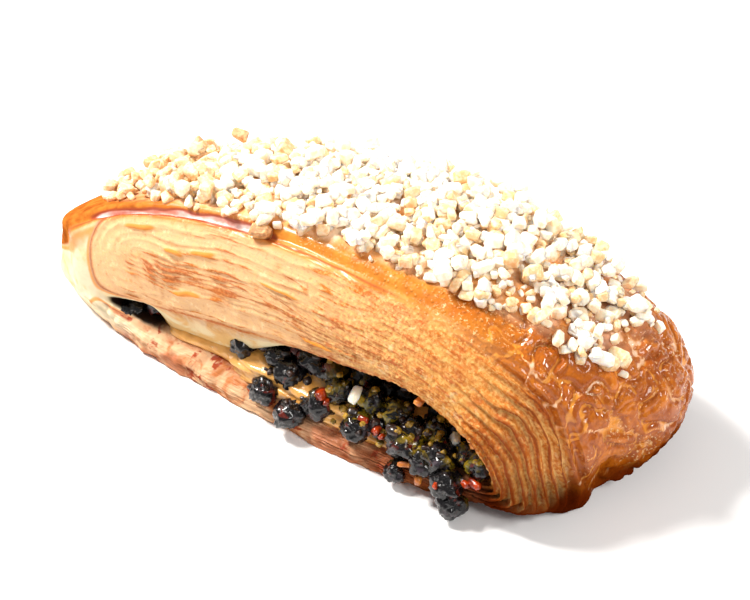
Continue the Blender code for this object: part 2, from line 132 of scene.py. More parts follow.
# Folds that run across the rows: height, turn, width in turns, and the rows between which they fade in.
CROSS_FOLDS = (
    (-1.5 * MM, 1.80, 0.05, 7.0, 8.0),
    (0.8 * MM, 1.97, 0.12, 6.5, 8.0),
)
CROSS_FOLD_END = (13.0, 11.0)
SEAM_DEPTH, SEAM_HEIGHT, SEAM_WIDTH = 0.7 * MM, 5 * MM, 1 * MM
WIDE_WAVE, WIDE_WAVE_SIZE = 0.9 * MM, 26 * MM
WAVE, WAVE_AT_RIGHT, WAVE_SIZE = 0.35 * MM, 0.55 * MM, 11 * MM
RIGHT_END = (25 * MM, 55 * MM)
WIDE_WAVE_SHIFT, WAVE_SHIFT = 8.0, 3.0
SKIN_START = (RIDGE - 0.2, RIDGE + 0.6)
BEAD_HEIGHT, BEAD_WIDTH = 1.3 * MM, 0.19
BEAD_RIGHT, BEAD_LEFT = (1.08, 1.2), (1.75, 1.6)

# The field of pearl sugar on the crown, in plan.
SUGAR_MIDDLE = (1 * MM, 2.0 * MM)
SUGAR_REACH = (63 * MM, 16.9 * MM)
SUGAR_SLANT = 0.08
SUGAR_SQUARENESS = 4

FLAP_DROP = 8.0 * MM
FLAP_REST = 6.3 * MM
FLAP_ROW, FLAP_THICKNESS = 3.55, 0.4
FLAP_RIGHT = (1.33, 1.54)
FLAP_LEFT = (1.76, 1.67)

POINTS_AROUND = 640
FACE_ROWS, SKIN_ROWS, HOLLOW_ROWS = 110, 118, 44


def ease(value, low, high):
    """0 at low, 1 at high, and smooth between them."""
    share = np.clip((value - low) / (high - low), 0, 1)
    return share * share * (3 - 2 * share)


def bump_at(value, middle, width):
    return np.exp(-(((value - middle) / width) ** 2))


def noise_at(points, size, shift=0.0):
    """Smooth noise, about -1 to 1, at each point, with waves of about this size. A size can differ by axis."""
    scaled = np.asarray(points) / size + np.array((shift, 2 * shift, 3 * shift))
    return np.array([noise.noise(point) for point in scaled.tolist()])


def hoop_points(hoop, turn):
    """Points of a hoop, for turns in quarters: 0 is its right, 1 its top, 2 its left and 3 its bottom."""
    turn = np.mod(turn, 4)
    quarter = np.floor(turn).astype(int) % 4
    angle = (turn - np.floor(turn)) * math.pi / 2
    corners = np.array(hoop[:4])
    start, end = corners[quarter], corners[(quarter + 1) % 4]
    power = 2 / np.array(hoop[4])[quarter]
    across, along = np.cos(angle) ** power, np.sin(angle) ** power
    from_side = quarter % 2 == 0
    share = np.stack(
        [
            np.where(from_side, 1 - across, along),
            np.sin(angle) ** 2,
            np.where(from_side, along, 1 - across),
        ],
        axis=1,
    )
    return (start + (end - start) * share) * (LENGTH / 2, DEPTH / 2, HEIGHT) + MIDDLE


def loft(turn, row):
    """Points of the smooth surface through the hoops. Row 0 is the first hoop, and LAST_HOOP is the last."""
    hoops = np.stack([hoop_points(hoop, turn) for hoop in HOOPS])
    row = np.clip(row, 0, LAST_HOOP - 1e-6)
    first = np.floor(row).astype(int)
    share = (row - first)[:, None]
    each = np.arange(len(turn))
    before = hoops[np.maximum(first - 1, 0), each]
    here = hoops[first, each]
    after = hoops[first + 1, each]
    beyond = hoops[np.minimum(first + 2, LAST_HOOP), each]
    return 0.5 * (
        2 * here
        + (after - before) * share
        + (2 * before - 5 * here + 4 * after - beyond) * share**2
        + (3 * here - before - 3 * after + beyond) * share**3
    )


def outward(turn, row):
    """Unit normals of the loft."""
    round_way = loft(turn + NORMAL_STEP, row) - loft(turn - NORMAL_STEP, row)
    further, nearer = np.minimum(row + NORMAL_STEP, LAST_HOOP), np.maximum(row - NORMAL_STEP, 0)
    back_way = loft(turn, further) - loft(turn, nearer)
    normal = np.cross(round_way, back_way)
    return normal / np.maximum(np.linalg.norm(normal, axis=1), 1e-12)[:, None]


def turns_away(turn, middle):
    return np.abs(np.mod(turn - middle + 2, 4) - 2)


def fold_count(row, points):
    """Where a point lies in the cut face: its height, from -1 at the rim to 1 at the ridge, its signed share of the
    way out from the middle of the fold, and its number of shares out along the layers, which turn back round the eye.
    """
    height = 2 * (row - RIM) / (RIDGE - RIM) - 1
    across = points[:, 0]
    near_eye = ease(across, *EYE_SIDE)
    middle = FOLD_MIDDLE + FOLD_AT_EYE * near_eye - FOLD_AT_RIGHT * ease(across, *FOLD_RUN)
    share = np.where(height > middle, (height - middle) / (1 - middle), (height - middle) / (1 + middle))
    widened = np.where(share < 0, share * (1 + EYE_LOW * near_eye), share)
    past_eye = np.maximum(0, (EYE_X - EYE_SLANT * height - across) / EYE_REACH)
    folded = np.cbrt(past_eye**3 + np.abs(widened) ** 3)
    return height, share, folded


def layer_profile(folded, edges):
    """The swell of layers between these edges, thick ones higher, and how near each point is to an edge."""
    edges = np.array(edges)
    number = np.clip(np.searchsorted(edges, folded) - 1, 0, len(edges) - 2)
    low, high = edges[number], edges[number + 1]
    across = 2 * (folded - low) / (high - low) - 1
    thick = np.sqrt((high - low) / THICK_LAYER)
    steps = np.array(LAYER_STEPS)[number % len(LAYER_STEPS)]
    swell = thick * (SWELL_MIDDLE - np.abs(across) ** LAYER_ROUNDNESS) + STEP_SHARE * steps
    reach = np.minimum(folded - low, high - folded)
    return swell, bump_at(reach, 0, EDGE_WIDTH)


def wandering_lines(points, count, size, width, shift):
    """Thin lines along the layers that wander, join and part, where a stretched noise crosses zero."""
    places = np.stack([points[:, 0] / size, points[:, 2] / (LINE_STRETCH * size), count], 1)
    return bump_at(noise_at(places, 1.0, shift), 0, width)


def gap_share(share, points):
    """How far a point is into one of the gaps between the layers."""
    found = np.zeros(len(points))
    bent = share + 0.05 * noise_at(points, 4 * MM, 2.0)
    for middle, reach, place, width in GAPS:
        along = np.exp(-(((points[:, 0] - middle) / reach) ** 4))
        found = np.maximum(found, along * bump_at(bent, place, width))
    return found


def shingle_share(turn, row, points):
    """How far a point is among the overlapping layers of the lower right, and how high it is on its own layer."""
    shingled = ease(turns_away(turn, *SHINGLES_AT), *SHINGLES_FADE) * ease(row, RIM + 0.2, RIM + 0.9)
    wave = row * SHINGLES + 0.7 * noise_at(points, 12 * MM, 4.0) + 0.25 * noise_at(points, 4 * MM, 5.0)
    tilted = wave - np.floor(wave)
    return shingled, ease(tilted, 0, 0.75) * ease(tilted, 1.0, 0.84)


def cut_face(turn, row, points):
    """The relief of the cut face in shares of a layer's swell, and its creases and browning from 0 to 1."""
    height, share, folded = fold_count(row, points)
    across = points[:, 0]
    left_half = ease(across, *LEFT_HALF)
    wander = noise_at(points, 19 * MM, 5.0) + 0.45 * noise_at(points, 5 * MM, 6.0) + 0.22 * noise_at(points, 1.8 * MM)
    wander = LAYER_WANDER * wander
    wandered = np.clip(folded + wander, 0, 1.3)
    swell_above, edge_above = layer_profile(wandered, EDGES_ABOVE)
    swell_below, edge_below = layer_profile(wandered, EDGES_BELOW)
    below = ease(-share, -0.08, 0.08)
    swell = swell_above + (swell_below - swell_above) * below
    swell = swell * (0.25 + 0.75 * ease(noise_at(points, 15 * MM, 9.0), -0.35, 0.35))
    edge = edge_above + (edge_below - edge_above) * below
    opened = ease(noise_at(points + (0, 0, 40 * MM), 13 * MM, 3.0) + 0.35 * noise_at(points, 5 * MM, 2.0), -0.1, 0.35)

    past = ease(across, EYE_X + 12 * MM, EYE_X)
    count = share + (folded - share) * past + 0.008 * noise_at(points, 1.6 * MM, 3.0)
    broken = ease(noise_at(points, 3.2 * MM, 6.0), -0.35, 0.15)
    broad = wandering_lines(points, count * 6, 26 * MM, 0.06, 5.0)
    thin = wandering_lines(points, count * 13, 17 * MM, 0.07, 1.0)
    hair = wandering_lines(points, count * 24, 10 * MM, 0.09, 7.0)
    bundle = bump_at(share, *BUNDLE) * ease(across, *BUNDLE_START) * (0.35 + 0.65 * ease(across, *BUNDLE_END))
    packed = np.clip(0.36 + bundle + 0.45 * (1 - left_half), 0, 1)

    shingled, shingle = shingle_share(turn, row, points)
    creases = edge * opened * (0.25 + 0.55 * left_half) + 0.75 * broad * packed * (1 - 0.8 * bundle)
    creases = np.clip(creases * (0.45 + 0.55 * broken), 0, 1)
    fine = (0.9 * thin * packed + 0.6 * hair * packed) * (0.4 + 0.6 * broken + 0.3 * bundle)
    fine = np.clip(fine * (0.3 + 0.7 * ease(across, -44 * MM, -30 * MM)), 0, 1)
    gaps = gap_share(share, points)
    frilly = noise_at(points * (1, 1, 1.6), 2.2 * MM, 8.0) * ease(across, -20 * MM, -36 * MM)
    relief = swell * 0.36 * (1 - 0.8 * shingled) + 0.16 * frilly
    relief = relief - 0.36 * creases - 0.18 * fine - 0.8 * gaps + 1.8 * shingled * (shingle - 0.5)
    browned = np.clip(0.95 * creases + 0.75 * fine, 0, 1)
    return relief, browned, bundle, gaps


def layer_relief(settings, turn, row, points):
    relief, _, _, _ = cut_face(turn, row, points)
    height, share, folded = fold_count(row, points)
    shown = ease(folded, *EYE_EDGE) * ease(row, *FACE_START) * ease(row, *FACE_END)
    shown = shown * ease(turns_away(turn, LOWER_LEFT_CORNER), *CORNER_FADE)
    bubbly = 0.3 + ease(points[:, 0], *BUBBLY)
    bubbles = BUBBLE_HEIGHT * noise_at(points, BUBBLE_SIZE, 2.0) * bubbly
    face = ease(row, RIM - 0.3, RIM) * ease(row, RIDGE + 0.1, RIDGE - 0.3)
    return settings.layer_swell * relief * shown + bubbles * face


def fold_relief(turn, row, points):
    lift = -SEAM_DEPTH * bump_at(points[:, 2], SEAM_HEIGHT, SEAM_WIDTH) * ease(row, RIDGE, RIDGE + 1)
    for height, along, width, middle, span, fade in FOLDS:
        lift += height * bump_at(row, along, width) * ease(turns_away(turn, middle), span + fade, span)
    for height, along, width, first, full in CROSS_FOLDS:
        lift += height * bump_at(turn, along, width) * ease(row, first, full) * ease(row, *CROSS_FOLD_END)
    return lift


def wrinkle_share(points):
    """The curled wrinkles of an egg-washed crust: 1 along their crests and less between them."""
    swirl = np.stack([noise_at(points, 6 * MM, 6.0), noise_at(points, 6 * MM, 7.0), noise_at(points, 6 * MM, 8.0)], 1)
    bent = points + 3.0 * MM * swirl
    ridged = bump_at(noise_at(bent, 4.8 * MM, 9.0), 0, 0.14)
    finer = bump_at(noise_at(bent, 2.4 * MM, 4.0), 0, 0.16)
    return (ridged + 0.4 * finer) / 1.4


def wave_relief(settings, row, points):
    """Soft waves in the skin, deepest at the right end, with the curled wrinkles of an egg-washed crust."""
    right = ease(points[:, 0], *RIGHT_END)
    depth = WAVE + WAVE_AT_RIGHT * right
    wide = WIDE_WAVE * noise_at(points, WIDE_WAVE_SIZE, WIDE_WAVE_SHIFT)
    soft = wide + depth * noise_at(points, WAVE_SIZE, WAVE_SHIFT)
    wrinkles = settings.wrinkle_depth * (1.6 * wrinkle_share(points) - 0.3) * (0.15 + 0.85 * right)
    return (soft + wrinkles) * ease(row, *SKIN_START)


def lip_relief(turn, row, points):
    """Thin torn layers and blisters along the lower lip."""
    lip = ease(turns_away(turn, 2.9), 0.85, 0.6) * ease(row, RIM - 0.2, RIM + 0.3) * ease(row, RIDGE + 0.3, RIDGE - 0.2)
    places = np.stack([points[:, 0] / (13 * MM), row * 3.4, row * 0 + 2.0], 1)
    torn = noise_at(places, 1.0, 1.5) - 0.7 * bump_at(noise_at(places * (1, 2, 1), 1.0, 4.0), 0, 0.1)
    blisters = np.maximum(noise_at(points, 4.2 * MM, 7.0), -0.1) + 0.5 * noise_at(points, 1.8 * MM, 3.0)
    return lip * MM * (0.16 * torn + 0.9 * blisters)


def bead_share(turn, row, points):
    """How far a point is up the lumpy bead of glazed crust along the upper left of the ridge."""
    along = ease(turn, *BEAD_RIGHT) * ease(turn, *BEAD_LEFT)
    lumps = 0.85 + 0.5 * noise_at(points, 4.5 * MM, 3.0)
    bent = row - RIDGE - 0.04 + 0.06 * noise_at(points, 6 * MM, 8.0)
    return lumps * bump_at(bent, 0, BEAD_WIDTH) * along


def hang_flap(turn, row, points):
    """A fold of dough hangs from the ceiling in the left half of the mouth, down to the lip."""
    sag = FLAP_DROP * bump_at(row, FLAP_ROW, FLAP_THICKNESS) * ease(turn, *FLAP_RIGHT) * ease(turn, *FLAP_LEFT)
    rest = FLAP_REST + 0.5 * MM * noise_at(points, 9 * MM, 2.0)
    lowered = np.maximum(points[:, 2] - sag, rest)
    points[:, 2] = np.where(sag > 0.1 * MM, lowered, points[:, 2])
    return points


def dough_points(settings, turn, row):
    """Points of the dough's surface, with its relief and its flat base."""
    points = loft(turn, row)
    lift = (
        layer_relief(settings, turn, row, points)
        + fold_relief(turn, row, points)
        + wave_relief(settings, row, points)
        + lip_relief(turn, row, points)
        + BEAD_HEIGHT * bead_share(turn, row, points)
    )
    points = points + outward(turn, row) * lift[:, None]
    points[:, 2] = np.maximum(points[:, 2], 0)
    return hang_flap(turn, row, points)


def sugar_depth(x, y):
    """How far inside the field of sugar a place is: 1 in its middle, 0 at its edge and less outside."""
    across = (x - SUGAR_MIDDLE[0]) / SUGAR_REACH[0]
    along = (y - SUGAR_MIDDLE[1] - SUGAR_SLANT * x) / SUGAR_REACH[1]
    return 1 - abs(across) ** SUGAR_SQUARENESS - abs(along) ** SUGAR_SQUARENESS


def dough_fields(turn, row, points):
    """What the finishes of the dough follow, each from 0 to 1: its glaze, pale leaf, baking, browned creases, blush,
    lower lip, flap and bubbles.
    """
    height, share, folded = fold_count(row, points)
    _, browned, bundle, gaps = cut_face(turn, row, points)
    across = points[:, 0]
    over = turn < 2
    frayed = row + 0.12 * noise_at(points, 5 * MM, 2.0) + 0.07 * noise_at(points, 1.6 * MM, 4.0)
    leaf = ease(folded, 0.97, 1.03) * ease(turn, 1.55, 1.65) * ease(turn, 2.6, 2.3)
    foot = ease(turn, 2.0, 2.2) * ease(turn, 2.70, 2.46) * ease(frayed, RIM + 0.9, RIM + 1.4)
    foot = foot * ease(frayed, RIDGE + 0.4, RIDGE - 0.2)
    leaf_end = RIDGE + 0.1 + 2.2 * ease(turn, 1.90, 2.06)
    tip = ease(row, 7.5, 7.8) * ease(turn, 1.9, 1.82)
    glaze = np.maximum(ease(frayed, RIDGE - 0.25, RIDGE - 0.05), tip * ease(row, 7.4, 7.7))
    leaf = leaf * (1 - tip) * ease(frayed, leaf_end, leaf_end - 0.6)
    leaf_rim = leaf * np.maximum(ease(frayed, leaf_end - 1.1, leaf_end - 0.5), ease(folded, 1.10, 1.02))
    leaf = np.maximum(leaf, foot)
    glaze = glaze * (1 - leaf)
    lip = ease(turns_away(turn, 2.95), 0.95, 0.75) * ease(row, RIM - 0.6, RIM) * ease(row, RIDGE + 1, RIDGE)
    rim_edge = bump_at(row, RIM + 0.05, 0.25) * over * ease(turn, 0.75, 1.1)
    rim_line = bump_at(frayed, RIM + 0.16, 0.13) * over * ease(turn, 0.9, 1.15)
    ridge_edge = bump_at(frayed, RIDGE - 0.12, 0.14) * over * ease(turn, 0.7, 1.0)
    eye_edge = bump_at(folded, 0.99, 0.05) * ease(across, -38 * MM, -44 * MM) * (row < RIDGE)
    bake = np.clip(0.05 + 0.95 * ease(across, -12 * MM, 50 * MM) + 0.1 * bundle, 0, 1)
    blush = np.clip(0.6 * bundle + rim_edge + 0.9 * ridge_edge + 0.5 * eye_edge, 0, 1)
    browned = browned * (row < RIDGE) * (row > RIM - 0.2) * (1 - 0.6 * lip)
    crease = np.clip(browned + 0.5 * eye_edge + 0.85 * rim_line, 0, 1)
    # Darker towards the floor, most at the right end: a browned base, with painted shade under the undercut of the
    # right end.
    low = ease(points[:, 2] + 3 * MM * noise_at(points, 6 * MM, 1.0) - 3 * MM * ease(across, 40 * MM, 55 * MM), 14 * MM, 1 * MM)
    low = low * np.maximum(0.15 + 0.85 * ease(across, 20 * MM, 50 * MM), ease(points[:, 1], 0, 20 * MM))
    # The hole at the far left of the mouth is painted dark, as shade.
    left_hole = ease(frayed, RIM + 0.45, RIM + 0.1) * ease(turn, 1.78, 1.88) * ease(turn, 2.65, 2.5)
    shingled, shingle = shingle_share(turn, row, points)
    on_face = ease(row, RIM, RIM + 0.3) * (row < RIDGE)
    inside = sugar_depth(across, points[:, 1]) * (row > RIDGE)
    rule = bump_at(row + 0.03 * noise_at(points, 5 * MM, 4.0), RIDGE - 0.13, 0.06) * over
    rule = rule * ease(turn, 0.80, 1.0) * ease(turn, 1.85, 1.75)
    outer = bump_at(folded, 1.0, 0.045 + 0.03 * noise_at(points, 4 * MM, 6.0)) * ease(across, -42 * MM, -47 * MM)
    outer = outer * (row < RIDGE + 0.2)
    flap = bump_at(row, FLAP_ROW - 0.1, 0.75) * ease(turn, 1.28, 1.42) * ease(turn, 1.80, 1.72)
    return {
        "count": folded * 4,
        "glaze": glaze,
        "leaf": leaf,
        "bake": bake,
        "crease": crease,
        "blush": blush,
        "lip": lip,
        "flap": flap * (row < RIM + 0.2),
        "bubbly": ease(across, *BUBBLY) * over,
        "right": ease(across, *RIGHT_END),
        "bead": bead_share(turn, row, points),
        "gap": gaps * (row < RIDGE) * (row > RIM),
        # Darker towards the floor: browned base and painted shade.
        "low": low * (1 - leaf),
        "wrinkle": wrinkle_share(points),
        # Painted shade: the hollow below the rim and the hole at the left are painted near black.
        "deep": np.maximum(ease(row, RIM - 0.4, RIM - 1.3), left_hole),
        # Painted shade in the grooves between the overlapping layers of the lower right, and painted light on their
        # crests.
        "shingle_groove_shade": on_face * shingled * (1 - shingle),
        "shingle_crest_light": on_face * shingled * ease(shingle, 0.75, 1.0),
        "sugared": ease(inside, -0.1, 0.5),
        "rule": np.clip(rule + outer, 0, 1),
        "leaf_rim": leaf_rim,
        "tip": ease(across, -30 * MM, -52 * MM) * ease(row, RIDGE - 0.5, RIDGE) * ease(row, RIDGE + 4, RIDGE + 2),
    }


def link_object(name, bm, finish, sharp_angle=None):
    mesh = bpy.data.meshes.new(name)
    bm.to_mesh(mesh)
    bm.free()
    mesh.materials.append(finish)
    mesh.shade_smooth()
    if sharp_angle is not None:
        mesh.set_sharp_from_angle(angle=sharp_angle)
    made = bpy.data.objects.new(name, mesh)
    bpy.context.scene.collection.objects.link(made)
    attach(made, "root")
    return made


def write_fields(bm, fields):
    """Keeps each field as an attribute of the points, for the finishes to follow."""
    for key, values in fields.items():
        layer = bm.verts.layers.float.new(key)
        for vert, value in zip(bm.verts, values.tolist()):
            vert[layer] = value


def dough_band(name, settings, first, last, rows, finish, close_end=None):
    """A closed band of the dough's surface between two rows, with its fields, from a grid whose sides are joined."""
    bm = bmesh.new()
    bmesh.ops.create_grid(bm, x_segments=POINTS_AROUND, y_segments=rows, size=1)
    flat = np.array([vert.co for vert in bm.verts])
    turn = 2 + 2 * flat[:, 0]
    row = first + (last - first) * (flat[:, 1] + 1) / 2
    points = dough_points(settings, np.mod(turn, 4), row)
    fields = dough_fields(turn, row, points)
    for vert, point in zip(bm.verts, points.tolist()):
        vert.co = point
    write_fields(bm, fields)
    seam = [vert for vert, place in zip(bm.verts, turn) if place < 1e-6 or place > 4 - 1e-6]
    bmesh.ops.remove_doubles(bm, verts=seam, dist=1e-6)
    if close_end is not None:
        rim = [edge for edge in bm.edges if edge.is_boundary and edge_row(edge, close_end)]
        made = bmesh.ops.edgeloop_fill(bm, edges=rim)
        bmesh.ops.poke(bm, faces=made["faces"])
    bmesh.ops.recalc_face_normals(bm, faces=bm.faces)
    return link_object(name, bm, finish)


def edge_row(edge, side):
    """Whether an edge of a band lies on its inner side, deep in the hollow, or on its outer side at the back."""
    behind = edge.verts[0].co.y > 0
    return behind if side in ("hollow", "back") else not behind


# Finishes.


def srgb(red, green, blue):
    """A colour given as 0 to 255, made linear."""
    shares = [value / 255 for value in (red, green, blue)]
    return tuple(s / 12.92 if s <= 0.04045 else ((s + 0.055) / 1.055) ** 2.4 for s in shares) + (1.0,)


class Finish:
    """A material under construction, with short names for the nodes that the finishes share."""

    def __init__(self, name):
        self.material = bpy.data.materials.new(name)
        self.material.use_nodes = True
        self.nodes = self.material.node_tree.nodes
        self.links = self.material.node_tree.links
        self.shader = self.nodes["Principled BSDF"]

    def set(self, **values):
        for key, value in values.items():
            self.shader.inputs[key.replace("_", " ")].default_value = value

    def link(self, source, target):
        self.links.new(source, target)

    def place(self):
        return self.nodes.new("ShaderNodeTexCoord").outputs["Object"]

    def field(self, name):
        node = self.nodes.new("ShaderNodeAttribute")
        node.attribute_name = name
        return node.outputs["Fac"]

    def feed(self, value, socket):
        if isinstance(value, bpy.types.NodeSocket):
            self.link(value, socket)
        else:
            socket.default_value = value

    def math(self, operation, first, second=0.0, clamp=False):
        node = self.nodes.new("ShaderNodeMath")
        node.operation = operation
        node.use_clamp = clamp
        self.feed(first, node.inputs[0])
        self.feed(second, node.inputs[1])
        return node.outputs[0]

    def noise(self, scale, detail=3.0, roughness=0.55, distortion=0.0, along=None, depth=None):
        node = self.nodes.new("ShaderNodeTexNoise")
        node.inputs["Scale"].default_value = scale
        node.inputs["Detail"].default_value = detail
        node.inputs["Roughness"].default_value = roughness
        node.inputs["Distortion"].default_value = distortion
        self.link(along or self.place(), node.inputs["Vector"])
        if depth is not None:
            node.noise_dimensions = "4D"
            self.link(depth, node.inputs["W"])
        return node.outputs["Fac"]

    def cells(self, scale):
        node = self.nodes.new("ShaderNodeTexVoronoi")
        node.inputs["Scale"].default_value = scale
        self.link(self.place(), node.inputs["Vector"])
        return node.outputs["Distance"]

    def range(self, value, low, high, to_low=0.0, to_high=1.0):
        node = self.nodes.new("ShaderNodeMapRange")
        node.interpolation_type = "SMOOTHSTEP"
        self.feed(value, node.inputs["Value"])
        node.inputs["From Min"].default_value = low
        node.inputs["From Max"].default_value = high
        node.inputs["To Min"].default_value = to_low
        node.inputs["To Max"].default_value = to_high
        return node.outputs["Result"]

    def mix(self, share, first, second):
        node = self.nodes.new("ShaderNodeMix")
        node.data_type = "RGBA"
        self.feed(share, node.inputs["Factor"])
        self.feed(first, node.inputs["A"])
        self.feed(second, node.inputs["B"])
        return node.outputs["Result"]

    def bump(self, height, distance, strength=1.0, under=None):
        node = self.nodes.new("ShaderNodeBump")
        node.inputs["Strength"].default_value = strength
        node.inputs["Distance"].default_value = distance
        self.link(height, node.inputs["Height"])
        if under is not None:
            self.link(under, node.inputs["Normal"])
        return node.outputs["Normal"]


def dough_finish(settings):
    """One finish for the whole dough, from the glazed crust to the pale cut layers, the leaf and the flap."""
    made = Finish("baked_dough")
    glaze, leaf, bake = made.field("glaze"), made.field("leaf"), made.field("bake")
    crease, blush, lip = made.field("crease"), made.field("blush"), made.field("lip")
    flap, bubbly, right, count = made.field("flap"), made.field("bubbly"), made.field("right"), made.field("count")
    bead, deep = made.field("bead"), made.field("deep")
    gap, low, wrinkle = made.field("gap"), made.field("low"), made.field("wrinkle")
    shingle_groove_shade, shingle_crest_light, rule = made.field("shingle_groove_shade"), made.field("shingle_crest_light"), made.field("rule")
    sugared, leaf_rim, tip = made.field("sugared"), made.field("leaf_rim"), made.field("tip")

    broad = made.noise(45, 3.0, depth=made.math("MULTIPLY", count, 1.9))
    fine = made.noise(80, 4.0, 0.6, depth=made.math("MULTIPLY", count, 14.0))
    specks = made.noise(1500, 3.0, 0.6)
    patches = made.noise(90, 3.0)
    dots = made.cells(1050)

    warmth = made.math("ADD", bake, made.range(broad, 0.3, 0.7, -0.22, 0.22), clamp=True)
    cut = made.mix(warmth, tuple(settings.crumb_colour), tuple(settings.golden_colour))
    streak = made.math("MULTIPLY", made.range(fine, 0.50, 0.72), made.range(bake, 0, 1, 0.35, 0.8))
    cut = made.mix(streak, cut, srgb(224, 138, 62))
    line = made.mix(blush, srgb(206, 112, 36), tuple(settings.line_colour))
    line = made.mix(made.range(patches, 0.4, 0.6, 0.0, 0.6), line, srgb(190, 104, 66))
    cut = made.mix(made.math("MULTIPLY", blush, made.range(fine, 0.44, 0.60, 0.0, 0.25)), cut, line)
    pale = made.math("MULTIPLY", made.range(crease, 0.10, 0.0), made.range(bubbly, 0.2, 1, 0.0, 0.5))
    cut = made.mix(pale, cut, srgb(232, 176, 98))
    flecked = made.noise(420, 4.0, 0.65)
    cut = made.mix(made.range(flecked, 0.42, 0.30, 0.0, 0.5), cut, srgb(212, 130, 66))
    cut = made.mix(made.range(flecked, 0.56, 0.68, 0.0, 0.6), cut, srgb(250, 222, 172))
    cut = made.mix(made.range(crease, 0.06, 0.65, 0.0, 0.95), cut, line)
    sandy = made.math("MULTIPLY", made.range(specks, 0.46, 0.66), made.range(bubbly, 0, 1, 0.25, 0.6))
    cut = made.mix(sandy, cut, srgb(250, 206, 128))
    pitted = made.math("MULTIPLY", made.range(specks, 0.42, 0.30), made.range(bubbly, 0, 1, 0.3, 0.6))
    cut = made.mix(pitted, cut, srgb(178, 90, 28))
    rosy_spots = made.math("MULTIPLY", made.range(made.noise(170, 4.0, 0.6), 0.55, 0.68), bubbly)
    cut = made.mix(made.math("MULTIPLY", rosy_spots, 0.55), cut, srgb(196, 92, 34))
    # Painted light on the crests of the overlapping layers at the lower right, and painted shade in the grooves between
    # them.
    cut = made.mix(made.math("MULTIPLY", shingle_crest_light, made.range(specks, 0.35, 0.6, 0.3, 0.8)), cut, srgb(252, 210, 136))
    cut = made.mix(made.range(shingle_groove_shade, 0.5, 1.0, 0.0, 0.95), cut, srgb(140, 58, 12))

    cut = made.mix(made.range(gap, 0.15, 0.6, 0.0, 0.85), cut, srgb(226, 136, 40))
    torn = made.noise(150, 4.0, 0.6, 0.8)
    lip_cut = made.mix(made.range(torn, 0.42, 0.62), srgb(228, 184, 142), srgb(196, 120, 70))
    lip_cut = made.mix(made.range(patches, 0.50, 0.62, 0.0, 0.7), lip_cut, srgb(182, 98, 60))
    lip_cut = made.mix(made.range(bake, 0.25, 0.8, 0.0, 0.75), lip_cut, srgb(142, 72, 30))
    red_spots = made.range(made.noise(240, 3.0, 0.6, 0.5), 0.56, 0.64)
    lip_cut = made.mix(red_spots, lip_cut, srgb(166, 74, 44))
    cut = made.mix(lip, cut, lip_cut)

    mottled = made.noise(130, 4.0, 0.6)
    amber = made.mix(made.range(mottled, 0.35, 0.68), tuple(settings.amber_colour), tuple(settings.crust_colour))
    crust = made.mix(made.range(patches, 0.36, 0.78, 0.0, 0.45), amber, srgb(150, 68, 14))
    rosy = made.mix(made.range(mottled, 0.36, 0.64), srgb(160, 72, 4), srgb(206, 114, 20))
    # Painted shade in the troughs beside the wrinkle crests at the right end, and painted light on the crests.
    rosy = made.mix(made.range(wrinkle, 0.08, 0.30, 0.0, 0.55), rosy, srgb(140, 52, 2))
    rosy = made.mix(made.range(wrinkle, 0.48, 0.80), rosy, srgb(228, 146, 54))
    # Painted highlight: pale peach flecks on the highest wrinkle crests.
    painted_crest_highlight = made.math("MULTIPLY", made.range(wrinkle, 0.55, 0.85), made.range(made.noise(110, 2.0), 0.50, 0.58))
    rosy = made.mix(made.math("MULTIPLY", painted_crest_highlight, 0.85), rosy, srgb(254, 222, 194))
    crust = made.mix(made.math("MULTIPLY", right, 0.9), crust, rosy)
    # Painted highlights: pale specks on the glazed crust, as glints on its small blisters.
    painted_blister_highlights = made.math("MULTIPLY", made.range(specks, 0.55, 0.68), made.range(patches, 0.42, 0.60, 0.0, 0.75))
    crust = made.mix(painted_blister_highlights, crust, srgb(250, 208, 150))
    toffee = made.mix(made.range(made.noise(260, 4.0, 0.6), 0.34, 0.66), srgb(200, 116, 46), srgb(146, 74, 26))
    crust = made.mix(tip, crust, toffee)
    # The crust under the sugar is painted pale: melted sugar, and painted light that lifts the shade in the gaps
    # between the grains.
    melt_and_painted_light = made.mix(made.range(mottled, 0.42, 0.62), srgb(254, 228, 196), srgb(240, 178, 112))
    shown_melt = made.math("MULTIPLY", made.range(right, 0, 1, 1.0, 0.3), made.range(tip, 0, 0.6, 1.0, 0.35))
    crust = made.mix(made.math("MULTIPLY", sugared, shown_melt), crust, melt_and_painted_light)

    colour = made.mix(glaze, cut, crust)
    # Painted highlight: the crest of the bead is painted pinkish white, as the shine along the rolled glazed edge; its
    # sides keep a reddish-brown edge.
    painted_bead_highlight = made.mix(made.range(mottled, 0.40, 0.62), srgb(252, 226, 220), srgb(226, 158, 140))
    colour = made.mix(made.range(bead, 0.12, 0.3), colour, srgb(164, 78, 48))
    colour = made.mix(made.range(bead, 0.36, 0.6), colour, painted_bead_highlight)
    colour = made.mix(made.math("MULTIPLY", rule, 0.85), colour, srgb(160, 72, 38))
    # Darker towards the floor: a browned base, with painted shade under the right end.
    colour = made.mix(low, colour, srgb(82, 26, 3))
    streaks = made.noise(300, 3.0, 0.5)
    cream = made.mix(made.range(streaks, 0.45, 0.75), srgb(230, 212, 178), srgb(224, 194, 140))
    cream = made.mix(made.range(leaf_rim, 0.1, 0.9, 0.0, 0.85), cream, srgb(224, 142, 62))
    colour = made.mix(leaf, colour, cream)
    flap_colour = made.mix(made.range(torn, 0.42, 0.6), srgb(232, 222, 182), srgb(222, 182, 114))
    colour = made.mix(flap, colour, flap_colour)
    # Painted shade: the hollow and the hole at the left of the mouth turn near black.
    colour = made.mix(deep, colour, srgb(30, 15, 8))
    made.link(colour, made.shader.inputs["Base Color"])

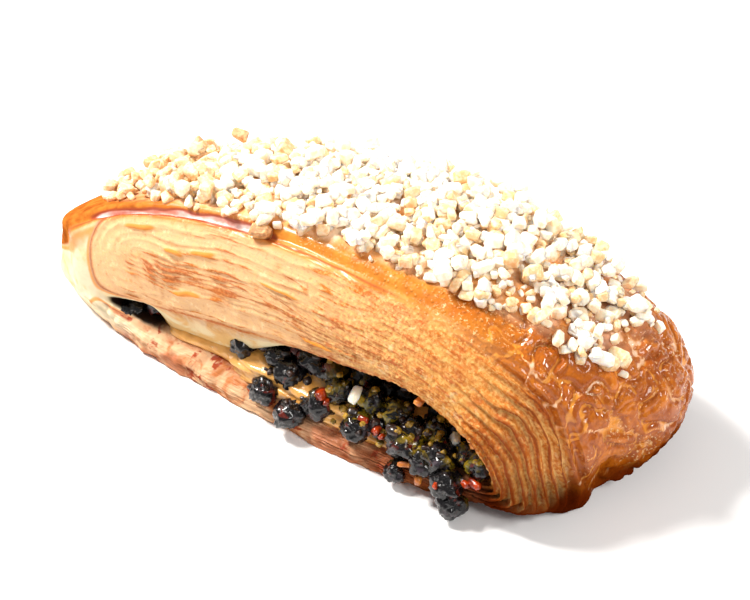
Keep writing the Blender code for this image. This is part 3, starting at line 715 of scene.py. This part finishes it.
    satin = made.math("MAXIMUM", glaze, made.math("MULTIPLY", lip, 0.8))
    made.link(made.range(satin, 0.0, 1.0, 0.50, 0.26), made.shader.inputs["Roughness"])
    shine = made.math("MULTIPLY", glaze, made.range(right, 0, 1, 0.35, 0.55))
    shine = made.math("ADD", shine, made.math("MULTIPLY", bead, 0.6), clamp=True)
    dull = made.math("MAXIMUM", made.range(low, 0, 0.6), tip)
    made.link(made.math("MULTIPLY", shine, made.range(dull, 0, 1, 1, 0)), made.shader.inputs["Coat Weight"])
    made.link(made.range(dull, 0.0, 1, 0.10, 0.0), made.shader.inputs["Specular IOR Level"])
    made.link(made.range(right, 0, 1, 0.16, 0.07), made.shader.inputs["Coat Roughness"])
    rough_lip = made.bump(made.math("MULTIPLY", torn, lip), 0.8 * MM, 0.7)
    small = made.bump(specks, 0.2 * MM, 0.5, rough_lip)
    dotted = made.bump(made.math("MULTIPLY", made.range(dots, 0.5, 0.0), bubbly), 0.2 * MM, 0.8, small)
    plain = made.math("MAXIMUM", glaze, lip)
    layered = made.bump(made.math("MULTIPLY", fine, made.range(plain, 0.9, 0.1)), 0.4 * MM, 0.5, dotted)
    made.link(layered, made.shader.inputs["Normal"])
    return made.material


def sugar_finish(settings):
    made = Finish("pearl_sugar")
    stain_and_shade = made.field("stain_and_shade")
    grain = made.noise(900, 3.0)
    white = made.mix(made.range(grain, 0.35, 0.7), tuple(settings.sugar_colour), srgb(253, 234, 208))
    beige = made.mix(made.range(grain, 0.4, 0.6), srgb(250, 222, 184), srgb(240, 194, 140))
    syrup = made.mix(made.range(grain, 0.4, 0.6), srgb(208, 150, 88), srgb(150, 92, 46))
    # The stain also holds painted shade on the lower part of each grain.
    colour = made.mix(made.range(stain_and_shade, 0.0, 0.5), white, beige)
    made.link(made.mix(made.range(stain_and_shade, 0.5, 1.0), colour, syrup), made.shader.inputs["Base Color"])
    made.set(Roughness=0.45, Specular_IOR_Level=0.3, Subsurface_Weight=0.6, Subsurface_Scale=1.4 * MM)
    made.shader.inputs["Subsurface Radius"].default_value = (1.0, 0.8, 0.55)
    made.link(made.bump(made.noise(1600, 3.0), 0.15 * MM, 0.6), made.shader.inputs["Normal"])
    return made.material


def chip_finish(settings):
    """Near-black chocolate with a purple-grey bloom, and smears of jam and custard further in; the chips further back
    in the hollow get painted shade, near black.
    """
    made = Finish("chocolate")
    bloom = made.noise(420, 4.0, 0.65)
    smeared, painted_depth_shade, filmed = made.field("smeared"), made.field("painted_depth_shade"), made.noise(230, 3.0, 0.6, 0.6)
    colour = made.mix(made.range(bloom, 0.54, 0.74), tuple(settings.chip_colour), srgb(64, 54, 62))
    jam = made.range(made.noise(310, 3.0, 0.5, 0.4), 0.60, 0.70)
    colour = made.mix(made.math("MULTIPLY", jam, 0.8), colour, srgb(104, 30, 16))
    olive = made.mix(made.range(bloom, 0.4, 0.6), srgb(170, 140, 36), srgb(92, 84, 18))
    colour = made.mix(made.math("MULTIPLY", made.range(filmed, 0.51, 0.60), smeared), colour, olive)
    # Painted shade: chips further back in the hollow turn near black.
    colour = made.mix(painted_depth_shade, colour, srgb(8, 5, 4))
    made.link(colour, made.shader.inputs["Base Color"])
    made.link(made.range(bloom, 0.4, 0.72, 0.16, 0.4), made.shader.inputs["Roughness"])
    made.set(Specular_IOR_Level=0.2, Coat_Roughness=0.05)
    made.link(made.range(painted_depth_shade, 0, 1, 0.65, 0.0), made.shader.inputs["Coat Weight"])
    made.link(made.bump(made.noise(620, 4.0, 0.6), 0.4 * MM, 1.0), made.shader.inputs["Normal"])
    return made.material


def custard_finish(settings):
    made = Finish("custard")
    deep = made.noise(120, 3.0)
    colour = made.mix(made.range(deep, 0.44, 0.66), tuple(settings.custard_colour), srgb(176, 116, 36))
    made.link(colour, made.shader.inputs["Base Color"])
    made.set(Roughness=0.28, Coat_Weight=0.4, Coat_Roughness=0.1)
    made.link(made.bump(made.noise(260, 4.0), 0.9 * MM, 0.8), made.shader.inputs["Normal"])
    return made.material


def bit_finish(name, light, dark, roughness):
    made = Finish(name)
    made.link(made.mix(made.range(made.noise(600, 3.0), 0.35, 0.65), light, dark), made.shader.inputs["Base Color"])
    made.set(Roughness=roughness, Coat_Weight=0.3)
    made.link(made.bump(made.noise(1300, 3.0), 0.2 * MM, 0.7), made.shader.inputs["Normal"])
    return made.material


# Scattered pieces: the same places as the grains and chips of the solids, with more between them.

SUGAR_TRIES = 60000
SUGAR_OVER_SOLID = 0.8 * MM
GRAINS_APART = 0.78
CLUMP_SIZE = 6.5 * MM
GRAIN_SIZES = (0.5, 0.75, 0.95, 1.15, 1.25)
SUGAR_SEED = 11
# Grains that stand out: x, y, radius, how many grains each lies on, and its stain.
LONE_GRAINS = (
    (-24.0 * MM, 6.0 * MM, 2.6 * MM, 2, 0.62),
    (-11.5 * MM, -17.6 * MM, 2.5 * MM, 0, 0.85),
    (-26.9 * MM, 8.6 * MM, 2.1 * MM, 3, 0.6),
)
CHIP_SEED = 5
FRONT_CHIPS = (
    (-45.6, -22.8, 6.0, 0.9),
    (-42.0, -18.5, 6.5, 1.1),
    (-5.6, -26.6, 6.2, 1.0),
    (-1.6, -22.5, 10.4, 1.0),
    (1.8, -27.9, 5.0, 1.0),
    (7.2, -24.5, 8.0, 1.1),
    (17.2, -25.2, 7.6, 1.0),
    (21.0, -22.5, 8.0, 0.9),
    (28.6, -24.5, 8.6, 1.05),
    (34.0, -26.0, 8.2, 0.9),
    (36.8, -24.2, 9.4, 1.1),
    (41.0, -27.6, 7.0, 1.1),
    (42.6, -28.0, 3.6, 1.0),
    (28.4, -27.2, 3.4, 0.7),
    (41.9, -21.0, 10.8, 0.95),
    (46.0, -23.3, 11.4, 0.8),
)
BITS_SEED = 3
CRUMBS, LUMPS = 80, 56
FILLING_TOP = 19 * MM
BIT_DETAIL = 3
# Stray bits in millimetres: x, y, z and radius.
SUGAR_BITS = (
    (15.4, -23.0, 14.4, 1.5),
    (37.8, -20.0, 12.0, 1.5),
    (45.6, -22.5, 14.6, 0.9),
)
JAM_BITS = (
    (8.4, -25.4, 12.2, 1.4),
    (10.0, -26.0, 11.4, 0.9),
    (18.8, -25.0, 10.4, 1.0),
    (22.4, -25.4, 9.8, 1.1),
    (23.8, -25.8, 9.2, 0.8),
    (46.6, -26.0, 9.4, 1.4),
    (44.8, -26.6, 9.0, 1.0),
    (40.0, -29.8, 8.2, 0.8),
)
SHARDS = (
    (32.0, -24.2, 22.4, 1.0),
    (45.2, -23.4, 17.6, 1.1),
    (34.2, -27.4, 5.4, 1.2),
    (31.0, -27.2, 6.6, 1.0),
)
CUSTARD_MIDDLE = (-1.0 * MM, -8.0 * MM, 5.5 * MM)
CUSTARD_REACH = (49.0 * MM, 18.8 * MM, 8.5 * MM)
NIB_SHARE, NIB_SKEW, NIB_WEAR = 0.72, 0.28, 0.26
NIB_SHARP = math.radians(34)
SMEARED_FROM, SMEARED_IN = (2 * MM, 20 * MM), (-28 * MM, -24 * MM)
# Spans in y and x of the painted shade on the chips further back in the hollow.
DEPTH_SHADE_IN, DEPTH_SHADE_TO = (-22 * MM, -18 * MM), (36 * MM, 26 * MM)
FILLING_BASE, CHIP_BASE = 0.8 * MM, 0.2 * MM
CHIP_STRETCH = ((0.92, 1.15), (0.88, 1.1), (0.85, 1.0))
CHIP_LUMPS, CHIP_DIMPLES, CHIP_GRAIN = 0.30, 0.30, 0.07


def surface_tree(*solids):
    verts, faces = [], []
    for solid in solids:
        start = len(verts)
        verts += [vert.co.copy() for vert in solid.data.vertices]
        faces += [[start + index for index in face.vertices] for face in solid.data.polygons]
    return BVHTree.FromPolygons(verts, faces)


def drop(tree, x, y):
    """The top of a surface at a place in plan, and its normal there."""
    hit, normal, _, _ = tree.ray_cast(Vector((x, y, 2 * HEIGHT)), Vector((0, 0, -1)))
    return hit, normal


def sugar_plan(settings, rng):
    """Places for the grains: x, y, radius, how many other grains each lies on, and its stain."""
    plan = list(LONE_GRAINS)
    for _ in range(SUGAR_TRIES):
        x = rng.uniform(SUGAR_MIDDLE[0] - SUGAR_REACH[0], SUGAR_MIDDLE[0] + SUGAR_REACH[0])
        y = rng.uniform(-DEPTH / 2, DEPTH / 2)
        radius = settings.grain_radius * rng.choice(GRAIN_SIZES) * rng.uniform(0.85, 1.15)
        inside = sugar_depth(x, y)
        clump = noise.noise(Vector((x, y, 0)) / CLUMP_SIZE)
        if inside < 0 or rng.random() > 0.25 + 1.6 * inside + 1.5 * clump:
            continue
        near = sum(math.hypot(x - a, y - b) < GRAINS_APART * (radius + c) for a, b, c, _, _ in plan)
        if near > 4 or (near and rng.random() > 0.06 + 0.9 * inside + clump):
            continue
        plan.append((x, y, radius, near, sugar_tint(x, y, rng)))
        if len(plan) == settings.grains:
            break
    return plan


def sugar_tint(x, y, rng):
    """How stained a grain is. The grains at the left are glazed, and a few of the others have drunk some syrup."""
    left = float(ease(np.float64(x), -15 * MM, -45 * MM))
    right = float(ease(np.float64(x), 5 * MM, 30 * MM))
    back = left * float(ease(np.float64(y), 2 * MM, 12 * MM))
    if rng.random() < 0.16 + 0.70 * left + 0.12 * right:
        return rng.uniform(0.35, 0.60 + 0.18 * left + 0.08 * back)
    return max(0.0, rng.gauss(0.08 + 0.1 * left, 0.10))


def random_turn(rng, lean):
    return Matrix.Rotation(rng.uniform(0, math.tau), 3, "Z") @ Matrix.Rotation(rng.uniform(-lean, lean), 3, "X")


def add_nib(bm, place, radius, long, rng):
    """Adds one nib of pearl sugar, a skewed block with its edges and corners worn off, and returns its points."""
    block = bmesh.ops.create_cube(bm, size=2 * NIB_SHARE)["verts"]
    for vert in block:
        vert.co += Vector([rng.uniform(-NIB_SKEW, NIB_SKEW) for _ in range(3)])
    edges = list({edge for vert in block for edge in vert.link_edges})
    worn = bmesh.ops.bevel(
        bm, geom=edges, offset=NIB_WEAR, segments=1, profile=0.5, affect="EDGES", material=-1, clamp_overlap=True
    )
    made = list({vert for face in worn["faces"] for vert in face.verts})
    turned = random_turn(rng, 1.2)
    size = Vector((long, rng.uniform(0.85, 1.1), rng.uniform(0.75, 1.0)))
    for vert in made:
        vert.co = place + turned @ (vert.co * size * radius)
    return made


def add_chip(bm, place, radius, detail, rng):
    """Adds one dimpled, wrinkled chip."""
    made = bmesh.ops.create_icosphere(bm, subdivisions=detail, radius=1)["verts"]
    turned = random_turn(rng, 1.2)
    shift = Vector([rng.uniform(-50, 50) for _ in range(3)])
    size = Vector([rng.uniform(*span) for span in CHIP_STRETCH])
    for vert in made:
        lumpy = CHIP_LUMPS * noise.noise(vert.co * 1.5 + shift)
        dimpled = CHIP_DIMPLES * abs(noise.noise(vert.co * 3.4 + shift))
        grainy = CHIP_GRAIN * noise.noise(vert.co * 8 + shift)
        vert.co = place + turned @ (vert.co * size * radius * (1.06 + lumpy - dimpled + grainy))
    return made


class DanishSettings(bpy.types.PropertyGroup):
    crumb_colour: bpy.props.FloatVectorProperty(
        name="Crumb", description="The palest colour of the cut layers", subtype="COLOR", size=4,
        min=0, max=1, default=srgb(236, 190, 142),
    )
    golden_colour: bpy.props.FloatVectorProperty(
        name="Golden", description="The cut layers where they are well baked", subtype="COLOR", size=4,
        min=0, max=1, default=srgb(212, 130, 48),
    )
    line_colour: bpy.props.FloatVectorProperty(
        name="Layer lines", description="The browned edges between the layers", subtype="COLOR", size=4,
        min=0, max=1, default=srgb(178, 96, 60),
    )
    amber_colour: bpy.props.FloatVectorProperty(
        name="Amber", description="The lighter colour of the glazed crust", subtype="COLOR", size=4,
        min=0, max=1, default=srgb(220, 148, 58),
    )
    crust_colour: bpy.props.FloatVectorProperty(
        name="Crust", description="The darker colour of the glazed crust", subtype="COLOR", size=4,
        min=0, max=1, default=srgb(190, 106, 34),
    )
    sugar_colour: bpy.props.FloatVectorProperty(
        name="Sugar", description="Clean pearl sugar", subtype="COLOR", size=4,
        min=0, max=1, default=srgb(255, 250, 240),
    )
    chip_colour: bpy.props.FloatVectorProperty(
        name="Chips", description="The chocolate of the chips", subtype="COLOR", size=4,
        min=0, max=1, default=srgb(10, 7, 9),
    )
    custard_colour: bpy.props.FloatVectorProperty(
        name="Custard", description="The baked custard", subtype="COLOR", size=4,
        min=0, max=1, default=srgb(232, 172, 92),
    )
    layer_swell: bpy.props.FloatProperty(
        name="Layer swell", description="How far each layer swells from the cut face", unit="LENGTH",
        default=1.0 * MM, min=0,
    )
    wrinkle_depth: bpy.props.FloatProperty(
        name="Wrinkle depth", description="The depth of the fine wrinkles in the crust", unit="LENGTH",
        default=0.8 * MM, min=0,
    )
    grains: bpy.props.IntProperty(
        name="Sugar grains", description="How many grains of pearl sugar lie on the crown", default=1550, min=0,
    )
    grain_radius: bpy.props.FloatProperty(
        name="Grain radius", description="The radius of a middling grain of sugar", unit="LENGTH",
        default=1.42 * MM, min=0,
    )
    chip_radius: bpy.props.FloatProperty(
        name="Chip radius", description="The radius of a chocolate chip", unit="LENGTH",
        default=3.35 * MM, min=0,
    )
    inner_chips: bpy.props.IntProperty(
        name="Inner chips", description="How many chips lie behind the front row", default=60, min=0,
    )
    key_strength: bpy.props.FloatProperty(
        name="Key light", description="Power of the main light in watts", default=8.0, min=0,
    )
    rim_strength: bpy.props.FloatProperty(
        name="Rim light", description="Power of the low light from the back left in watts", default=1.8, min=0,
    )
    fill_strength: bpy.props.FloatProperty(
        name="Fill light", description="Power of the soft light from the right in watts", default=2.4, min=0,
    )
    glint_strength: bpy.props.FloatProperty(
        name="Glint light", description="Power of the small light that glints on the right end in watts",
        default=1.7, min=0,
    )


def settings():
    return bpy.context.scene.danish_pastry


def dough_material():
    return bpy.data.materials.get("baked_dough") or dough_finish(settings())


class PASTRY_OT_crust(bpy.types.Operator):
    """Adds the glazed crust, from the ridge over the crown to the back and the base"""

    bl_idname = "pastry.crust"
    bl_label = "Glazed crust"

    def execute(self, context):
        made = dough_band("glazed_crust", settings(), RIDGE, LAST_HOOP, SKIN_ROWS, dough_material(), "back")
        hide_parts("dough")
        return {"FINISHED"}


class PASTRY_OT_layers(bpy.types.Operator):
    """Adds the cut face with its layers, and the lower lip"""

    bl_idname = "pastry.layers"
    bl_label = "Cut layers"

    def execute(self, context):
        made = dough_band("cut_layers", settings(), RIM, RIDGE, FACE_ROWS, dough_material())
        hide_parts("dough")
        return {"FINISHED"}


class PASTRY_OT_hollow(bpy.types.Operator):
    """Adds the hollow behind the rim, with the flap of dough that hangs in it"""

    bl_idname = "pastry.hollow"
    bl_label = "Hollow and flap"

    def execute(self, context):
        made = dough_band("hollow_and_flap", settings(), 0.1, RIM, HOLLOW_ROWS, dough_material(), "hollow")
        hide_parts("dough")
        return {"FINISHED"}


class PASTRY_OT_sugar(bpy.types.Operator):
    """Scatters pearl sugar over the crown, heaped in the middle and stained with syrup here and there"""

    bl_idname = "pastry.sugar"
    bl_label = "Pearl sugar"

    def execute(self, context):
        chosen = settings()
        rng = random.Random(SUGAR_SEED)
        tree = surface_tree(bpy.data.objects["glazed_crust"], bpy.data.objects["cut_layers"])
        bm = bmesh.new()
        stain_and_shade = bm.verts.layers.float.new("stain_and_shade")
        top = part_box("dough")[1][2] + SUGAR_OVER_SOLID
        for x, y, radius, level, tint in sugar_plan(chosen, rng):
            hit, normal = drop(tree, x, y)
            lift = radius * (rng.uniform(0.35, 0.6) + 0.45 * level)
            place = hit + normal * lift
            place.z = min(place.z, top - radius)
            made = add_nib(bm, place, radius, rng.uniform(0.95, 1.55), rng)
            for vert in made:
                # The lower part of each grain gets more stain: syrup soaked in at its base, and painted warm shade
                # under the grain.
                vert[stain_and_shade] = min(1.0, tint + (0.35 if vert.co.z < hit.z + 0.45 * radius else 0.0))
        made = link_object("pearl_sugar", bm, sugar_finish(chosen), NIB_SHARP)
        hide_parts("dough")
        return {"FINISHED"}


class PASTRY_OT_custard(bpy.types.Operator):
    """Adds the custard that fills the hollow and runs out over the lip"""

    bl_idname = "pastry.custard"
    bl_label = "Custard"

    def execute(self, context):
        bm = bmesh.new()
        bmesh.ops.create_uvsphere(bm, u_segments=220, v_segments=110, radius=1)
        for vert in bm.verts:
            rough = 1 + 0.16 * noise.noise(vert.co * 3.5) + 0.035 * noise.noise(vert.co * 14)
            vert.co = Vector(CUSTARD_MIDDLE) + vert.co * Vector(CUSTARD_REACH) * rough
            vert.co.z = max(vert.co.z, FILLING_BASE)
        made = link_object("custard", bm, custard_finish(settings()))
        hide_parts("filling")
        return {"FINISHED"}


class PASTRY_OT_chips(bpy.types.Operator):
    """Adds the chocolate chips, a front row where the photo shows it and more behind"""

    bl_idname = "pastry.chips"
    bl_label = "Chocolate chips"

    def execute(self, context):
        chosen = settings()
        rng = random.Random(CHIP_SEED)
        tree = surface_tree(bpy.data.objects["custard"])
        bm = bmesh.new()
        places = []
        for _ in range(4000):
            x, y = rng.uniform(-15, 47) * MM, rng.uniform(-22.5, 0) * MM
            hit, normal = drop(tree, x, y)
            if hit and all((hit - place).length > 1.15 * chosen.chip_radius for place in places):
                places.append(hit + normal * 0.3 * chosen.chip_radius)
            if len(places) == chosen.inner_chips:
                break
        for place in places:
            add_chip(bm, place, chosen.chip_radius * rng.uniform(0.75, 1.05), 4, rng)
        for x, y, z, size in FRONT_CHIPS:
            add_chip(bm, Vector((x, y, z)) * MM, chosen.chip_radius * size, 4, rng)
        for vert in bm.verts:
            vert.co.z = max(vert.co.z, CHIP_BASE)
        points = np.array([vert.co for vert in bm.verts])
        smeared = ease(points[:, 0], *SMEARED_FROM) * ease(points[:, 1], *SMEARED_IN)
        # Painted shade on the chips further back in the hollow, away from the right end.
        painted_depth_shade = ease(points[:, 0], *DEPTH_SHADE_TO) * ease(points[:, 1], *DEPTH_SHADE_IN)
        write_fields(bm, {"smeared": smeared, "painted_depth_shade": painted_depth_shade})
        made = link_object("chocolate_chips", bm, chip_finish(chosen))
        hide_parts("filling")
        return {"FINISHED"}


class PASTRY_OT_bits(bpy.types.Operator):
    """Adds the stray bits in the filling: sugar, jam, shards of crust, dark crumbs and lumps of custard"""

    bl_idname = "pastry.bits"
    bl_label = "Stray bits"

    def execute(self, context):
        rng = random.Random(BITS_SEED)
        self.add("filling_sugar", SUGAR_BITS, 1.5, sugar_finish(settings()), rng)
        self.add("jam", JAM_BITS, 1.4, bit_finish("jam", srgb(176, 58, 14), srgb(92, 20, 8), 0.18), rng)
        shards = bit_finish("shards", srgb(226, 138, 52), srgb(160, 84, 26), 0.4)
        self.add("crust_shards", SHARDS, 2.2, shards, rng)
        tree = surface_tree(bpy.data.objects["chocolate_chips"], bpy.data.objects["custard"])
        crumbs = self.scatter(tree, CRUMBS, (-12, 47), (-28, -8), (0.5, 1.3), rng)
        self.add("crumbs", crumbs, 1.2, bit_finish("crumbs", srgb(58, 30, 18), srgb(20, 12, 12), 0.35), rng)
        lumps = self.scatter(tree, LUMPS, (4, 47), (-26, -10), (0.4, 0.95), rng)
        custardy = bit_finish("custard_lumps", srgb(190, 146, 50), srgb(104, 82, 16), 0.25)
        self.add("custard_lumps", lumps, None, custardy, rng)
        return {"FINISHED"}

    def scatter(self, tree, count, across, along, sizes, rng):
        places = []
        while len(places) < count:
            x, y = rng.uniform(*across) * MM, rng.uniform(*along) * MM
            hit, normal = drop(tree, x, y)
            if hit and hit.z < FILLING_TOP:
                places.append((*(hit / MM), rng.uniform(*sizes)))
        return places

    def add(self, name, places, long, finish, rng):
        bm = bmesh.new()
        for x, y, z, radius in places:
            place = Vector((x, y, z)) * MM
            if long is None:
                add_chip(bm, place, radius * MM, BIT_DETAIL, rng)
            else:
                add_nib(bm, place, radius * MM, long, rng)
        made = link_object(name, bm, finish)
        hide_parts("filling")


class PASTRY_OT_stage(bpy.types.Operator):
    """Adds the pale floor, the soft lights and the camera"""

    bl_idname = "pastry.stage"
    bl_label = "Stage"

    def execute(self, context):
        scene = context.scene
        bm = bmesh.new()
        bmesh.ops.create_grid(bm, x_segments=1, y_segments=1, size=2.0)
        mesh = bpy.data.meshes.new("floor")
        bm.to_mesh(mesh)
        bm.free()
        floor = bpy.data.objects.new("floor", mesh)
        scene.collection.objects.link(floor)
        made = Finish("pale_floor")
        pale = made.mix(made.noise(12, 2.0), srgb(246, 246, 246), srgb(250, 250, 250))
        made.link(pale, made.shader.inputs["Base Color"])
        made.set(Roughness=0.7)
        mesh.materials.append(made.material)

        azimuth, elevation = math.radians(36), math.radians(40)
        back = Vector(
            (
                math.sin(azimuth) * math.cos(elevation),
                -math.cos(azimuth) * math.cos(elevation),
                math.sin(elevation),
            )
        )
        lens = bpy.data.cameras.new("camera")
        lens.lens = 90
        lens.clip_start = 0.01
        camera = bpy.data.objects.new("camera", lens)
        scene.collection.objects.link(camera)
        camera.location = Vector((4.1, -0.8, 18.4)) * MM + back * 0.3956
        camera.rotation_euler = (-back).to_track_quat("-Z", "Y").to_euler()
        scene.camera = camera

        self.light("key", (-0.40, -0.10, 0.58), 0.15, settings().key_strength, (1.0, 0.97, 0.93))
        self.light("rim", (-0.62, 0.08, 0.43), 0.22, settings().rim_strength, (1.0, 0.96, 0.92))
        self.light("fill", (0.50, -0.20, 0.60), 0.20, settings().fill_strength, (1.0, 0.98, 0.95))
        self.light("glint", (0.58, 0.30, 0.40), 0.10, settings().glint_strength, (1.0, 0.98, 0.96))
        world = bpy.data.worlds.new("studio")
        scene.world = world
        world.use_nodes = True
        sky = world.node_tree.nodes["Background"]
        sky.inputs["Color"].default_value = (1, 1, 1, 1)
        sky.inputs["Strength"].default_value = 0.33
        scene.view_settings.view_transform = "Standard"
        scene.view_settings.look = "None"
        return {"FINISHED"}

    def light(self, name, place, size, power, colour):
        lamp = bpy.data.lights.new(name, "AREA")
        lamp.energy = power
        lamp.size = size
        lamp.color = colour
        made = bpy.data.objects.new(name, lamp)
        bpy.context.scene.collection.objects.link(made)
        made.location = place
        made.rotation_euler = (-Vector(place)).to_track_quat("-Z", "Y").to_euler()


class PASTRY_PT_panel(bpy.types.Panel):
    bl_label = "Danish pastry"
    bl_idname = "PASTRY_PT_panel"
    bl_space_type = "VIEW_3D"
    bl_region_type = "UI"
    bl_category = "Pastry"

    def draw(self, context):
        column = self.layout.column(align=True)
        for name in DanishSettings.__annotations__:
            column.prop(context.scene.danish_pastry, name)
        for operator in OPERATORS:
            column.operator(operator.bl_idname)


OPERATORS = (
    PASTRY_OT_crust,
    PASTRY_OT_layers,
    PASTRY_OT_hollow,
    PASTRY_OT_sugar,
    PASTRY_OT_custard,
    PASTRY_OT_chips,
    PASTRY_OT_bits,
    PASTRY_OT_stage,
)
CLASSES = (DanishSettings, *OPERATORS, PASTRY_PT_panel)


def register():
    for cls in CLASSES:
        bpy.utils.register_class(cls)
    bpy.types.Scene.danish_pastry = bpy.props.PointerProperty(type=DanishSettings)


def unregister():
    del bpy.types.Scene.danish_pastry
    for cls in reversed(CLASSES):
        bpy.utils.unregister_class(cls)


def main():
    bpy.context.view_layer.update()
    register()
    bpy.ops.pastry.crust()
    bpy.ops.pastry.layers()
    bpy.ops.pastry.hollow()
    bpy.ops.pastry.sugar()
    bpy.ops.pastry.custard()
    bpy.ops.pastry.chips()
    bpy.ops.pastry.bits()
    bpy.ops.pastry.stage()


if __name__ == "__main__":
    main()
